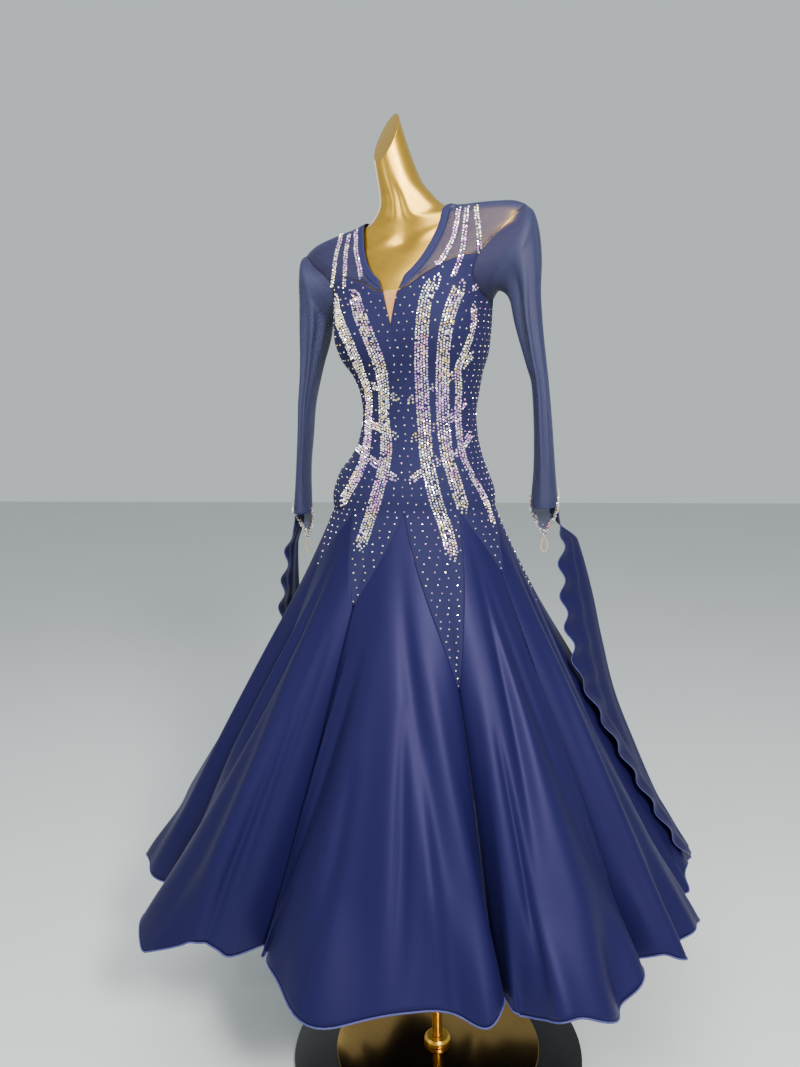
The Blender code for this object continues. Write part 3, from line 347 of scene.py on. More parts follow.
def skirt_point(index, u, share):
    """A point of the skirt: u runs across a godet from fold to fold, share from hips to hem."""
    index %= len(GODETS)
    godet = GODETS[index]
    left, right = VALLEYS[index], VALLEYS[index + 1]
    narrowing = FOLD_NARROWING * share**NARROWING_POWER
    across = u - narrowing / (2.0 * math.pi) * math.sin(2.0 * math.pi * u)
    angle = lerp(fold_angle(left, share), fold_angle(right, share), across)
    seen_angle, hip_radius = hip_polar(lerp(left.hip_angle, right.hip_angle, u))
    angle += (seen_angle - lerp(fold_angle(left, 0.0), fold_angle(right, 0.0), u)) * (1.0 - share) ** 2
    before = GODETS[index - 1].reach
    after = GODETS[(index + 1) % len(GODETS)].reach
    edge_reach = lerp((before + godet.reach) / 2.0, (after + godet.reach) / 2.0, u)
    crown = max(0.0, math.sin(math.pi * u)) ** CROWN_ROUNDNESS
    reach = lerp(edge_reach, godet.reach, crown)
    depth = edge_reach - lerp(left.hem_radius, right.hem_radius, u)
    radius = lerp(hip_radius, reach, share**REACH_POWER)
    radius -= depth * (1.0 - crown) * share**FOLD_POWER
    wave = math.cos(2.0 * math.pi * godet.folds * (u - 0.5)) * math.sin(math.pi * u)
    radius += godet.fold_depth * wave * share**2
    height = lerp(PEAK_HEIGHT, hem_height(index, u), share)
    return polar(angle, radius, height) + skirt_centre(share)


def tongue_share(valley, share):
    """Half the width of a tongue as a share of a godet's width."""
    return 0.0 if share > valley.tip else lerp(0.5, TONGUE_END_SHARE, share / valley.tip)


def godet_width(index, share):
    """Width of a whole godet over the cloth, as it is beside its left fold."""
    return (skirt_point(index, NEAR_FOLD, share) - skirt_point(index, 0.0, share)).length / NEAR_FOLD


FRONT_GODET = 4
front_hem = skirt_point(FRONT_GODET, 0.5, 1.0)
print("the front hem lies at", [round(value, 3) for value in front_hem])

# %% [markdown]
# Cloth is never one flat colour. Two node groups give every cloth its life: one makes the fine
# grain of the weave or knit, as a height for a bump and a shade for the colour, and the other a
# slow unevenness of tone, as handling, steam and dust leave it. Both read Object coordinates, so
# they stay on the piece.

# %% Node groups for grain and tone
def new_group(name, inputs, outputs):
    """An empty shader node group with named float inputs and outputs."""
    group = bpy.data.node_groups.new(name, "ShaderNodeTree")
    for label, value in inputs:
        socket = group.interface.new_socket(label, in_out="INPUT", socket_type="NodeSocketFloat")
        socket.default_value = value
    for label in outputs:
        group.interface.new_socket(label, in_out="OUTPUT", socket_type="NodeSocketFloat")
    return group, group.nodes.new("NodeGroupInput"), group.nodes.new("NodeGroupOutput")


def math_node(tree, operation, first, second=None):
    """A Math node with links or plain numbers for its inputs."""
    node = tree.nodes.new("ShaderNodeMath")
    node.operation = operation
    for slot, value in enumerate((first, second)):
        if value is None:
            continue
        if isinstance(value, (int, float)):
            node.inputs[slot].default_value = value
        else:
            tree.links.new(value, node.inputs[slot])
    return node.outputs[0]


def build_woven_grain():
    """Threads that cross: Scale is threads per metre, and Stretch lengthens the upright ones."""
    inputs = (("Scale", 900.0), ("Stretch", 1.0), ("Looseness", 0.3))
    group, source, result = new_group("woven_grain", inputs, ("Height", "Shade"))
    coordinates = group.nodes.new("ShaderNodeTexCoord")
    split = group.nodes.new("ShaderNodeSeparateXYZ")
    group.links.new(coordinates.outputs["Object"], split.inputs[0])
    level = math_node(group, "ADD", split.outputs["X"], split.outputs["Y"])
    turns = math_node(group, "MULTIPLY", source.outputs["Scale"], math.pi)
    across = math_node(group, "SINE", math_node(group, "MULTIPLY", level, turns))
    slower = math_node(group, "DIVIDE", turns, source.outputs["Stretch"])
    upright = math_node(group, "SINE", math_node(group, "MULTIPLY", split.outputs["Z"], slower))
    crossing = math_node(group, "MULTIPLY", across, upright)
    noise = group.nodes.new("ShaderNodeTexNoise")
    group.links.new(coordinates.outputs["Object"], noise.inputs["Vector"])
    group.links.new(math_node(group, "MULTIPLY", source.outputs["Scale"], 0.4), noise.inputs["Scale"])
    slub = math_node(group, "MULTIPLY", noise.outputs["Fac"], source.outputs["Looseness"])
    height = math_node(group, "ADD", math_node(group, "MULTIPLY", crossing, 0.5), slub)
    group.links.new(height, result.inputs["Height"])
    half = math_node(group, "MULTIPLY", height, 0.5)
    group.links.new(math_node(group, "ADD", half, 0.5), result.inputs["Shade"])
    return group


def build_uneven_tone():
    """Slow patches: Size is their width in metres, and Strength how far they leave 1."""
    inputs = (("Size", 0.15), ("Strength", 0.1), ("Upright", 1.0))
    group, source, result = new_group("uneven_tone", inputs, ("Tone", "Mask"))
    coordinates = group.nodes.new("ShaderNodeTexCoord")
    split = group.nodes.new("ShaderNodeSeparateXYZ")
    group.links.new(coordinates.outputs["Object"], split.inputs[0])
    join = group.nodes.new("ShaderNodeCombineXYZ")
    for axis in ("X", "Y"):
        group.links.new(split.outputs[axis], join.inputs[axis])
    upright = math_node(group, "DIVIDE", split.outputs["Z"], source.outputs["Upright"])
    group.links.new(upright, join.inputs["Z"])
    noise = group.nodes.new("ShaderNodeTexNoise")
    noise.inputs["Detail"].default_value = 4.0
    noise.inputs["Roughness"].default_value = 0.6
    group.links.new(join.outputs[0], noise.inputs["Vector"])
    group.links.new(math_node(group, "DIVIDE", 1.0, source.outputs["Size"]), noise.inputs["Scale"])
    centred = math_node(group, "SUBTRACT", noise.outputs["Fac"], 0.5)
    doubled = math_node(group, "MULTIPLY", centred, 2.0)
    swing = math_node(group, "MULTIPLY", doubled, source.outputs["Strength"])
    group.links.new(math_node(group, "ADD", swing, 1.0), result.inputs["Tone"])
    group.links.new(noise.outputs["Fac"], result.inputs["Mask"])
    return group


woven_grain = build_woven_grain()
uneven_tone = build_uneven_tone()
print("node groups:", woven_grain.name, "and", uneven_tone.name)

# %% [markdown]
# Each finish is a Principled shader. Its steady values, such as sheen and coat, are set on the
# shader's own sockets, and the groups feed the colour, the roughness and a bump.

# %% Finishes
Finish = namedtuple("Finish", "colour roughness metallic grain stretch bump tone_size tone upright")
SHADE_LOWEST = 0.90
SHADE_SWING = 0.16
BUMP_DISTANCE = 0.0004


def new_finish(name, finish, **constants):
    """A material with grain and uneven tone; constants go straight onto the shader's sockets."""
    material = bpy.data.materials.new(name)
    material.use_nodes = True
    tree = material.node_tree
    shader = tree.nodes["Principled BSDF"]
    grain = tree.nodes.new("ShaderNodeGroup")
    grain.node_tree = woven_grain
    grain.inputs["Scale"].default_value = finish.grain
    grain.inputs["Stretch"].default_value = finish.stretch
    tone = tree.nodes.new("ShaderNodeGroup")
    tone.node_tree = uneven_tone
    tone.inputs["Size"].default_value = finish.tone_size
    tone.inputs["Strength"].default_value = finish.tone
    tone.inputs["Upright"].default_value = finish.upright
    tinted = tree.nodes.new("ShaderNodeMix")
    tinted.data_type = "RGBA"
    tinted.blend_type = "MULTIPLY"
    tinted.inputs["Factor"].default_value = 1.0
    tinted.inputs["A"].default_value = (*finish.colour, 1.0)
    shade = math_node(tree, "MULTIPLY_ADD", grain.outputs["Shade"], SHADE_SWING)
    shade.node.inputs[2].default_value = SHADE_LOWEST
    grey = tree.nodes.new("ShaderNodeCombineColor")
    level = math_node(tree, "MULTIPLY", tone.outputs["Tone"], shade)
    for channel in ("Red", "Green", "Blue"):
        tree.links.new(level, grey.inputs[channel])
    tree.links.new(grey.outputs["Color"], tinted.inputs["B"])
    tree.links.new(tinted.outputs["Result"], shader.inputs["Base Color"])
    rough = math_node(tree, "MULTIPLY", tone.outputs["Tone"], finish.roughness)
    tree.links.new(rough, shader.inputs["Roughness"])
    shader.inputs["Metallic"].default_value = finish.metallic
    bump = tree.nodes.new("ShaderNodeBump")
    bump.inputs["Strength"].default_value = finish.bump
    bump.inputs["Distance"].default_value = BUMP_DISTANCE
    tree.links.new(grain.outputs["Height"], bump.inputs["Height"])
    tree.links.new(bump.outputs["Normal"], shader.inputs["Normal"])
    for socket, value in constants.items():
        shader.inputs[socket.replace("_", " ")].default_value = value
    return material


satin = new_finish(
    "satin_navy", Finish((0.0054, 0.0049, 0.0340), 0.48, 0.0, 1400.0, 3.0, 0.12, 0.30, 0.14, 3.0),
    Sheen_Weight=0.03, Sheen_Roughness=0.30, Sheen_Tint=(0.45, 0.45, 1.0, 1.0), Specular_IOR_Level=0.20,
    Specular_Tint=(0.58, 0.54, 1.0, 1.0),
)
crepe = new_finish(
    "bodice_navy", Finish((0.0075, 0.0076, 0.040), 0.78, 0.0, 1100.0, 1.0, 0.30, 0.12, 0.10, 1.0),
    Sheen_Weight=0.04, Sheen_Roughness=0.5, Sheen_Tint=(0.5, 0.5, 1.0, 1.0), Specular_IOR_Level=0.18,
)
sheer = new_finish(
    "mesh_navy", Finish((0.0085, 0.0105, 0.056), 0.66, 0.0, 1300.0, 1.0, 0.30, 0.10, 0.12, 2.0),
    Sheen_Weight=0.08, Sheen_Roughness=0.4, Sheen_Tint=(0.5, 0.56, 1.0, 1.0), Alpha=0.60,
)
band_mesh = new_finish(
    "band_navy", Finish((0.0080, 0.0092, 0.050), 0.70, 0.0, 1300.0, 1.0, 0.30, 0.10, 0.10, 2.0),
    Sheen_Weight=0.05, Sheen_Roughness=0.4, Sheen_Tint=(0.5, 0.54, 1.0, 1.0), Alpha=0.96,
    Specular_IOR_Level=0.25,
)
nude_mesh = new_finish(
    "insert_nude", Finish((0.52, 0.27, 0.09), 0.6, 0.0, 1300.0, 1.0, 0.3, 0.05, 0.08, 1.0), Alpha=0.50,
)
hem_thread = new_finish(
    "hem_thread", Finish((0.022, 0.024, 0.120), 0.42, 0.0, 2200.0, 1.0, 0.5, 0.10, 0.12, 1.0),
    Sheen_Weight=0.12, Sheen_Tint=(0.5, 0.54, 1.0, 1.0),
)
elastic = new_finish(
    "elastic_beige", Finish((0.58, 0.33, 0.14), 0.7, 0.0, 2600.0, 1.0, 0.6, 0.03, 0.10, 1.0),
)
gold = new_finish(
    "form_gold", Finish((0.74, 0.42, 0.050), 0.30, 1.0, 90.0, 1.0, 0.0, 0.09, 0.08, 2.0),
    Coat_Weight=0.15, Coat_Roughness=0.15,
)
plate_finish = new_finish(
    "plate_gold", Finish((0.26, 0.16, 0.05), 0.12, 1.0, 90.0, 1.0, 0.0, 0.12, 0.30, 1.0),
)
black_gloss = new_finish(
    "disc_black", Finish((0.008, 0.008, 0.009), 0.30, 0.0, 700.0, 1.0, 0.02, 0.10, 0.35, 1.0),
    Specular_IOR_Level=0.35,
)
print("finishes:", len(bpy.data.materials))

# %% [markdown]
# A piece of cloth starts as a flat grid, as it does on the cutting table. Each point of the grid is
# then carried to its place on the garment by a rule, and Solidify gives the sheet its thickness.
# The rule gets two shares: across the piece towards +X round the body, and down it.

# %% Cloth from a grid
SHEET_WALL = 0.0009
MERGE_DISTANCE = 0.00003
CREASE_WIDTH_ABOVE = 1.25
CREASE_NARROWING = 0.45
Crease = namedtuple("Crease", "u_top u_end v_top v_end width depth bend")


def grid_shape(columns, rows, place):
    """A bmesh grid whose points lie where the rule puts them."""
    shape = bmesh.new()
    bmesh.ops.create_grid(shape, x_segments=columns, y_segments=rows, size=0.5, calc_uvs=False)
    for vert in shape.verts:
        vert.co = place(vert.co.x + 0.5, 0.5 - vert.co.y)
    return shape


def crease_offset(creases, u, v):
    """How far the creases push the cloth out at a place, in metres."""
    offset = 0.0
    for crease in creases:
        t = (v - crease.v_top) / (crease.v_end - crease.v_top)
        if not 0.0 < t < 1.0:
            continue
        middle = lerp(crease.u_top, crease.u_end, t) + crease.bend * math.sin(math.pi * t)
        spread = crease.width * (CREASE_WIDTH_ABOVE - CREASE_NARROWING * t)
        offset += crease.depth * math.sin(math.pi * t) * math.exp(-((u - middle) / spread) ** 2)
    return offset


def finish_piece(name, shape, material, wall=SHEET_WALL):
    """Puts a shape into the scene as a named piece with a thickness."""
    mesh = bpy.data.meshes.new(name)
    shape.to_mesh(mesh)
    shape.free()
    mesh.shade_smooth()
    mesh.materials.append(material)
    piece = bpy.data.objects.new(name, mesh)
    bpy.context.scene.collection.objects.link(piece)
    if wall:
        solidify = piece.modifiers.new("Wall", "SOLIDIFY")
        solidify.thickness = wall
        solidify.offset = -1.0
    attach(piece, "root")
    return piece


def push_out(shape, columns, rows, creases, fade, across=None):
    """Moves a grid's points along their normals by the creases, less towards its edges."""
    shape.verts.ensure_lookup_table()
    shape.normal_update()
    moves = []
    for number, vert in enumerate(shape.verts):
        u = (number % (columns + 1)) / columns
        v = 1.0 - (number // (columns + 1)) / rows
        where = across(u, v) if across else u
        moves.append(vert.normal * (crease_offset(creases, where, v) * fade(u, v)))
    for vert, move in zip(shape.verts, moves):
        vert.co += move


print("a sheet of cloth is", SHEET_WALL * 1000, "mm thick")

# %% [markdown]
# The form is a moulded torso with a slanted cut through the neck. One grid is wrapped round its
# sections and the seam merged. A plane cuts the neck, as a saw cuts the moulding, the hole is
# filled with one face, and a small bevel rounds the rim.

# %% Form
FORM_COLUMNS = 144
FORM_ROWS = 220
NECK_CUT_MIDDLE = Vector((-0.064, 0.000, 1.778))
NECK_CUT_FACING = Vector((-0.620, -0.620, 0.480))
CUT_ROUNDING = 0.0022
CUT_DISTANCE = 0.0001
CUT_MERGE = 0.0004
Mould = namedtuple("Mould", "angle height half_angle half_height depth lean")
MOULDS = (
    Mould(2.0, 1.583, 5.5, 0.013, -0.0050, 0.0), Mould(-11.0, 1.588, 10.0, 0.008, 0.0016, 0.0010),
    Mould(15.0, 1.590, 10.0, 0.008, 0.0018, 0.0010), Mould(-9.0, 1.640, 7.0, 0.040, 0.0016, -0.0020),
    Mould(13.0, 1.640, 7.0, 0.040, 0.0018, 0.0020), Mould(2.0, 1.630, 4.0, 0.040, -0.0012, 0.0),
)


def moulded_skin(u, v):
    """The skin with its low relief above the neckline: hollow, collar bones and tendons."""
    angle, height = 360.0 * u, lerp(BODY_SECTIONS[-1].height, BODY_SECTIONS[0].height, v)
    turned = (angle + 180.0) % 360.0 - 180.0
    across, upward = skin_slopes(angle, height)
    relief = 0.0
    for mould in MOULDS:
        level = height - mould.height - mould.lean * (turned - mould.angle)
        off = ((turned - mould.angle) / mould.half_angle) ** 2 + (level / mould.half_height) ** 2
        relief += mould.depth * math.exp(-off)
    return skin_point(angle, height) + across.cross(upward).normalized() * relief


def make_form():
    """The torso with its neck cut on a slant."""
    shape = grid_shape(FORM_COLUMNS, FORM_ROWS, moulded_skin)
    bmesh.ops.remove_doubles(shape, verts=shape.verts[:], dist=MERGE_DISTANCE)
    bmesh.ops.bisect_plane(
        shape, geom=shape.verts[:] + shape.edges[:] + shape.faces[:], dist=CUT_DISTANCE,
        plane_co=NECK_CUT_MIDDLE, plane_no=NECK_CUT_FACING, clear_outer=True,
    )
    bmesh.ops.remove_doubles(shape, verts=shape.verts[:], dist=CUT_MERGE)
    rims = [edge for edge in shape.edges if edge.is_boundary]
    caps = bmesh.ops.holes_fill(shape, edges=rims, sides=0)["faces"]
    bmesh.ops.recalc_face_normals(shape, faces=shape.faces[:])
    cut = max(caps, key=lambda face: face.calc_center_median().z)
    bmesh.ops.bevel(
        shape, geom=list(cut.edges), offset=CUT_ROUNDING, segments=4, affect="EDGES",
        profile=0.5, material=-1, clamp_overlap=True,
    )
    for face in shape.faces:
        face.smooth = True
    form = finish_piece("form_skin", shape, gold, wall=0.0)
    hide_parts("form_body")


make_form()
print("form made")

# %% [markdown]
# The stand is turned on a lathe: a profile of a few corners is spun round the pole's axis, and a
# bevel rounds the corners that a hand would feel.

# %% Stand
SPIN_STEPS = 128
SHARP_ANGLE = math.radians(40.0)


def turn(name, profile, bevel, material, slot, node):
    """Spins a closed profile of radius and height round the Z axis."""
    shape = bmesh.new()
    corners = [shape.verts.new((radius, 0.0, height)) for radius, height in profile]
    edges = [shape.edges.new(pair) for pair in zip(corners, corners[1:])]
    bmesh.ops.spin(
        shape, geom=corners + edges, cent=(0, 0, 0), axis=(0, 0, 1),
        angle=2.0 * math.pi, steps=SPIN_STEPS, use_merge=True, use_duplicate=False,
    )
    bmesh.ops.remove_doubles(shape, verts=shape.verts[:], dist=MERGE_DISTANCE)
    bmesh.ops.recalc_face_normals(shape, faces=shape.faces[:])
    piece = finish_piece(name, shape, material, wall=0.0)
    soften = piece.modifiers.new("Edges", "BEVEL")
    soften.width = bevel
    soften.segments = 3
    soften.limit_method = "ANGLE"
    soften.harden_normals = False
    piece.data.set_sharp_from_angle(angle=SHARP_ANGLE)
    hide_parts(node)


disc_low, disc_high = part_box("base_disc")
plate_low, plate_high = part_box("base_plate")
pole_low, pole_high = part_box("form_pole")
collar_low, collar_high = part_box("form_collar")
COLLAR_SHOULDER = 0.0045
COLLAR_BORE = pole_high.x + 0.0005
turn("stand_disc", (
    (0.0, disc_low.z), (disc_high.x, disc_low.z), (disc_high.x, disc_high.z), (0.0, disc_high.z),
), 0.0018, black_gloss, "disc_black", "base_disc")
turn("stand_plate", (
    (0.0, plate_low.z), (plate_high.x, plate_low.z), (plate_high.x, plate_high.z), (0.0, plate_high.z),
), 0.0012, plate_finish, "plate_gold", "base_plate")
turn("stand_pole", (
    (0.0, pole_low.z), (pole_high.x, pole_low.z), (pole_high.x, pole_high.z), (0.0, pole_high.z),
), 0.0006, gold, "form_gold", "form_pole")
turn("stand_collar", (
    (COLLAR_BORE, collar_low.z), (collar_high.x, collar_low.z),
    (collar_high.x, lerp(collar_low.z, collar_high.z, 0.6)),
    (collar_high.x - COLLAR_SHOULDER, collar_high.z),
    (COLLAR_BORE, collar_high.z), (COLLAR_BORE, collar_low.z),
), 0.0007, gold, "form_gold", "form_collar")
print("the disc is", round(2.0 * disc_high.x, 3), "m across")

# %% [markdown]
# The bodice is two panels of stretch crepe, one in front and one behind. Each ends below in long
# pointed tongues that run down between the godets. The panel is one grid and every tongue another,
# and they share the row of points where they meet, so merging the doubles sews them together.

# %% Cut lines of the bodice
CutPoint = namedtuple("CutPoint", "angle height")
SWEETHEART = (
    CutPoint(0.0, 1.494), CutPoint(8.0, 1.498), CutPoint(22.0, 1.520),
    CutPoint(36.0, 1.537), CutPoint(45.0, 1.542), CutPoint(54.0, 1.540),
)
BACK_TOP = (
    CutPoint(126.0, 1.540), CutPoint(145.0, 1.526), CutPoint(160.0, 1.513),
    CutPoint(173.0, 1.508), CutPoint(180.0, 1.508),
)
NOTCH_HALF_ANGLE = 5.2
NOTCH_CORNER = 0.1
NOTCH_FOOT = 1.440
SIDE_SEAM = 80.0
ARMHOLE_ANGLE = 90.0
ARMHOLE_HALF_ANGLE = 36.0
ARMHOLE_HEIGHT = 1.540
ARMHOLE_HALF_HEIGHT = 0.066
GODET_SPAN = 360.0 / len(GODETS)


def armhole_point(turn_angle, side, grow=0.0):
    """Angle and height of the armhole's edge; the turn is 0 at the top and 90 at the front."""
    share = 1.0 + grow / ARMHOLE_HALF_HEIGHT
    angle = ARMHOLE_ANGLE - ARMHOLE_HALF_ANGLE * share * math.sin(math.radians(turn_angle))
    height = ARMHOLE_HEIGHT + ARMHOLE_HALF_HEIGHT * share * math.cos(math.radians(turn_angle))
    return side * angle, height


def armhole_foot(angle):
    """Height of the armhole's lower edge at an angle round the body."""
    share = min(max((abs(angle) - ARMHOLE_ANGLE) / ARMHOLE_HALF_ANGLE, -1.0), 1.0)
    return ARMHOLE_HEIGHT - ARMHOLE_HALF_HEIGHT * math.sqrt(1.0 - share * share)


def bodice_top(angle):
    """Height of the bodice's upper edge at an angle round the body."""
    angle = abs((angle + 180.0) % 360.0 - 180.0)
    if angle < NOTCH_HALF_ANGLE - NOTCH_CORNER:
        corner = smooth_table(SWEETHEART, NOTCH_HALF_ANGLE)[0]
        return lerp(NOTCH_FOOT, corner, angle / NOTCH_HALF_ANGLE)
    if angle <= SWEETHEART[-1].angle:
        return smooth_table(SWEETHEART, angle)[0]
    if angle < BACK_TOP[0].angle:
        return armhole_foot(angle)
    return smooth_table(BACK_TOP, angle)[0]


print("the bodice is cut at", [round(bodice_top(angle), 3) for angle in (0.0, 90.0, 180.0)], "m")

# %% [markdown]
# The columns of both grids stand closer together beside the tongues' edges, where the cloth is cut
# on a slant. A panel stands off the form by its ease, and a tongue lies in the surface of the
# skirt, so the crepe runs into the satin without a step.

# %% Bodice
SPAN_STEPS = (
    0.0, 0.04, 0.085, 0.13, 0.19, 0.25, 0.30, 0.35, 0.40, 0.45, 0.5,
    0.55, 0.60, 0.65, 0.70, 0.75, 0.81, 0.87, 0.915, 0.96, 1.0,
)
PANEL_ROWS = 64
TONGUE_ROWS = 26
TONGUE_MERGE = 0.0003
BODY_RADIUS = 0.11


def panel_place(first_angle, spans):
    """The rule that carries a grid to a panel of the bodice."""
    steps = len(SPAN_STEPS) - 1
    half_gap = math.degrees(SEAM_GAP / 2.0 / BODY_RADIUS)

    def place(u, v):
        column = round(u * spans * steps)
        span, step = divmod(column, steps)
        angle = first_angle + GODET_SPAN * (span + SPAN_STEPS[step])
        angle += half_gap * ((column == 0) - (column == spans * steps))
        return over_skin(angle, lerp(bodice_top(angle) - SEAM_GAP, PEAK_HEIGHT, v), BODICE_OUT)

    return place


def tongue_place(valley_index):
    """The rule that carries a grid to a tongue; its first row is the panel's last."""
    valley = VALLEYS[valley_index]
    index = valley_index % len(GODETS)

    def place(u, v):
        share = valley.tip * v
        half = tongue_share(valley, share)
        if v > 0.0:
            half -= SEAM_GAP / 2.0 / godet_width(index, share)
        across = lerp(-half, half, SPAN_STEPS[round(u * (len(SPAN_STEPS) - 1))])
        if across >= 0.0:
            return skirt_point(index, across, share)
        return skirt_point(index - 1, 1.0 + across, share)

    return place


def make_panel(name, valley_indices, first_angle, node):
    """One panel of the bodice with its tongues sewn to it."""
    columns = len(SPAN_STEPS) - 1
    spans = len(valley_indices)
    shape = grid_shape(columns * spans, PANEL_ROWS, panel_place(first_angle, spans))
    for valley_index in valley_indices:
        tongue = grid_shape(columns, TONGUE_ROWS, tongue_place(valley_index))
        part = bpy.data.meshes.new("tongue")
        tongue.to_mesh(part)
        tongue.free()
        shape.from_mesh(part)
        bpy.data.meshes.remove(part)
    bmesh.ops.remove_doubles(shape, verts=shape.verts[:], dist=TONGUE_MERGE)
    panel = finish_piece(name, shape, crepe)
    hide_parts(node)
    return panel


front_panel = make_panel("bodice_front_crepe", (3, 4, 5, 6), -SIDE_SEAM, "bodice_front")
back_panel = make_panel("bodice_back_crepe", (7, 8, 9, 1, 2), SIDE_SEAM, "bodice_back")
print("bodice panels:", len(front_panel.data.polygons), "and", len(back_panel.data.polygons), "faces")

# %% [markdown]
# The yokes are sheer mesh. Each is a patch between four sewn edges: a Coons patch blends the curves
# of its four sides, so the mesh lies as if it were pulled tight between its seams.

# %% Yokes
NeckPoint = namedtuple("NeckPoint", "height half_opening")
NECK_FRONT = (
    NeckPoint(1.4985, 0.0145), NeckPoint(1.5290, 0.0500), NeckPoint(1.5600, 0.0700),
    NeckPoint(1.5900, 0.0810), NeckPoint(1.6130, 0.0850), NeckPoint(1.6300, 0.0880),
)
NECK_BACK = ((0.0000, 1.6020), (0.0300, 1.6040), (0.0580, 1.6110), (0.0780, 1.6200), (0.0880, 1.6300))
RIDGE_TURN = 0.6
RIDGE_LEAN = 0.4
LENGTH_SAMPLES = 60


def neck_front_point(share, side):
    """Angle and height on the front neckline, from the foot of the V to the shoulder seam."""
    height = lerp(NECK_FRONT[0].height, NECK_FRONT[-1].height, share)
    half_opening = smooth_table(NECK_FRONT, height)[0]
    half_width = smooth_table(BODY_SECTIONS, height)[0]
    return side * math.degrees(math.asin(min(1.0, half_opening / half_width))), height


def neck_back_point(share, side):
    """Angle and height on the back neckline, from the shoulder seam to the centre."""
    half_opening = lerp(NECK_BACK[-1][0], 0.0, share)
    height = smooth_table(NECK_BACK, half_opening)[0]
    sine = min(1.0, half_opening / smooth_table(BODY_SECTIONS, height)[0])
    return side * (180.0 - math.degrees(math.asin(sine))), height


def by_length(curve):
    """The same curve of angle and height, run in even steps over the cloth."""
    shares = [i / LENGTH_SAMPLES for i in range(LENGTH_SAMPLES + 1)]
    points = [over_skin(*curve(share), MESH_OUT) for share in shares]
    lengths = [0.0]
    for first, second in zip(points, points[1:]):
        lengths.append(lengths[-1] + (second - first).length)

    @lru_cache(maxsize=None)
    def even(share):
        wanted = share * lengths[-1]
        index = next((i for i in range(LENGTH_SAMPLES) if wanted <= lengths[i + 1]), LENGTH_SAMPLES - 1)
        part = (wanted - lengths[index]) / (lengths[index + 1] - lengths[index])
        return curve(lerp(shares[index], shares[index + 1], min(max(part, 0.0), 1.0)))

    return even


def coons_place(bottom, top, left, right):
    """The rule that carries a grid to a patch between four curves of angle and height."""
    top, left, right = (by_length(curve) for curve in (top, left, right))

    def place(u, v):
        up = 1.0 - v
        spot = []
        for axis in (0, 1):
            across = lerp(left(up)[axis], right(up)[axis], u)
            upward = lerp(bottom(u)[axis], top(u)[axis], up)
            low = lerp(bottom(0.0)[axis], bottom(1.0)[axis], u)
            high = lerp(top(0.0)[axis], top(1.0)[axis], u)
            spot.append(across + upward - lerp(low, high, up))
        return over_skin(*spot, MESH_OUT)

    return place


def shoulder_seam(share, side, lean):
    """Angle and height on the ridge of the shoulder, from the armhole to the neck."""
    low, high = ARMHOLE_HEIGHT + ARMHOLE_HALF_HEIGHT + SEAM_GAP, NECK_FRONT[-1].height
    return side * (ARMHOLE_ANGLE + lean), lerp(low, high, 1.0 - (1.0 - share) ** 2)


YOKE_COLUMNS = 30
YOKE_ROWS = 44
NOTCH_EDGE = NOTCH_HALF_ANGLE + 0.4
FOOT_BLEND = 8.0


def inner_fade(u, v):
    """Creases of a yoke die out at all four of its seams."""
    return math.sin(math.pi * u) * math.sin(math.pi * v)


def make_front_yoke(name, side, node, creases):
    """Sheer mesh from the sweetheart seam up to the shoulder seam, beside the V."""
    arm = SWEETHEART[-1].angle

    def bottom(share):
        angle = lerp(NOTCH_EDGE, arm, share)
        return side * angle, smooth_table(SWEETHEART, angle)[0] + SEAM_GAP

    def outer(share):
        return armhole_point(lerp(90.0, RIDGE_TURN, share), side, SEAM_GAP)

    def inner(share):
        angle, height = neck_front_point(share, side)
        return lerp(side * NOTCH_EDGE, angle, min(1.0, share * FOOT_BLEND)), max(height, bottom(0.0)[1])

    def top(share):
        return shoulder_seam(1.0 - share, side, -RIDGE_LEAN)

    place = coons_place(by_length(bottom), top, inner, outer)
    mirrored = place if side > 0.0 else lambda u, v: place(1.0 - u, v)
    shape = grid_shape(YOKE_COLUMNS, YOKE_ROWS, mirrored)
    push_out(shape, YOKE_COLUMNS, YOKE_ROWS, creases, inner_fade)
    yoke = finish_piece(name, shape, sheer)
    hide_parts(node)
    return yoke


RIGHT_PULLS = (
    Crease(0.80, 0.72, 0.35, 1.0, 0.05, 0.0020, 0.00), Crease(0.90, 0.84, 0.45, 1.0, 0.04, 0.0022, 0.00),
    Crease(0.70, 0.60, 0.50, 1.0, 0.05, 0.0016, 0.00), Crease(0.55, 0.50, 0.20, 0.8, 0.08, 0.0012, 0.02),
)
LEFT_PULLS = (
    Crease(0.20, 0.28, 0.35, 1.0, 0.05, 0.0020, 0.00), Crease(0.10, 0.17, 0.45, 1.0, 0.04, 0.0018, 0.00),
    Crease(0.34, 0.42, 0.45, 1.0, 0.06, 0.0014, 0.00),
)
yoke_right = make_front_yoke("yoke_front_right_mesh", 1.0, "yoke_front_right", RIGHT_PULLS)
yoke_left = make_front_yoke("yoke_front_left_mesh", -1.0, "yoke_front_left", LEFT_PULLS)


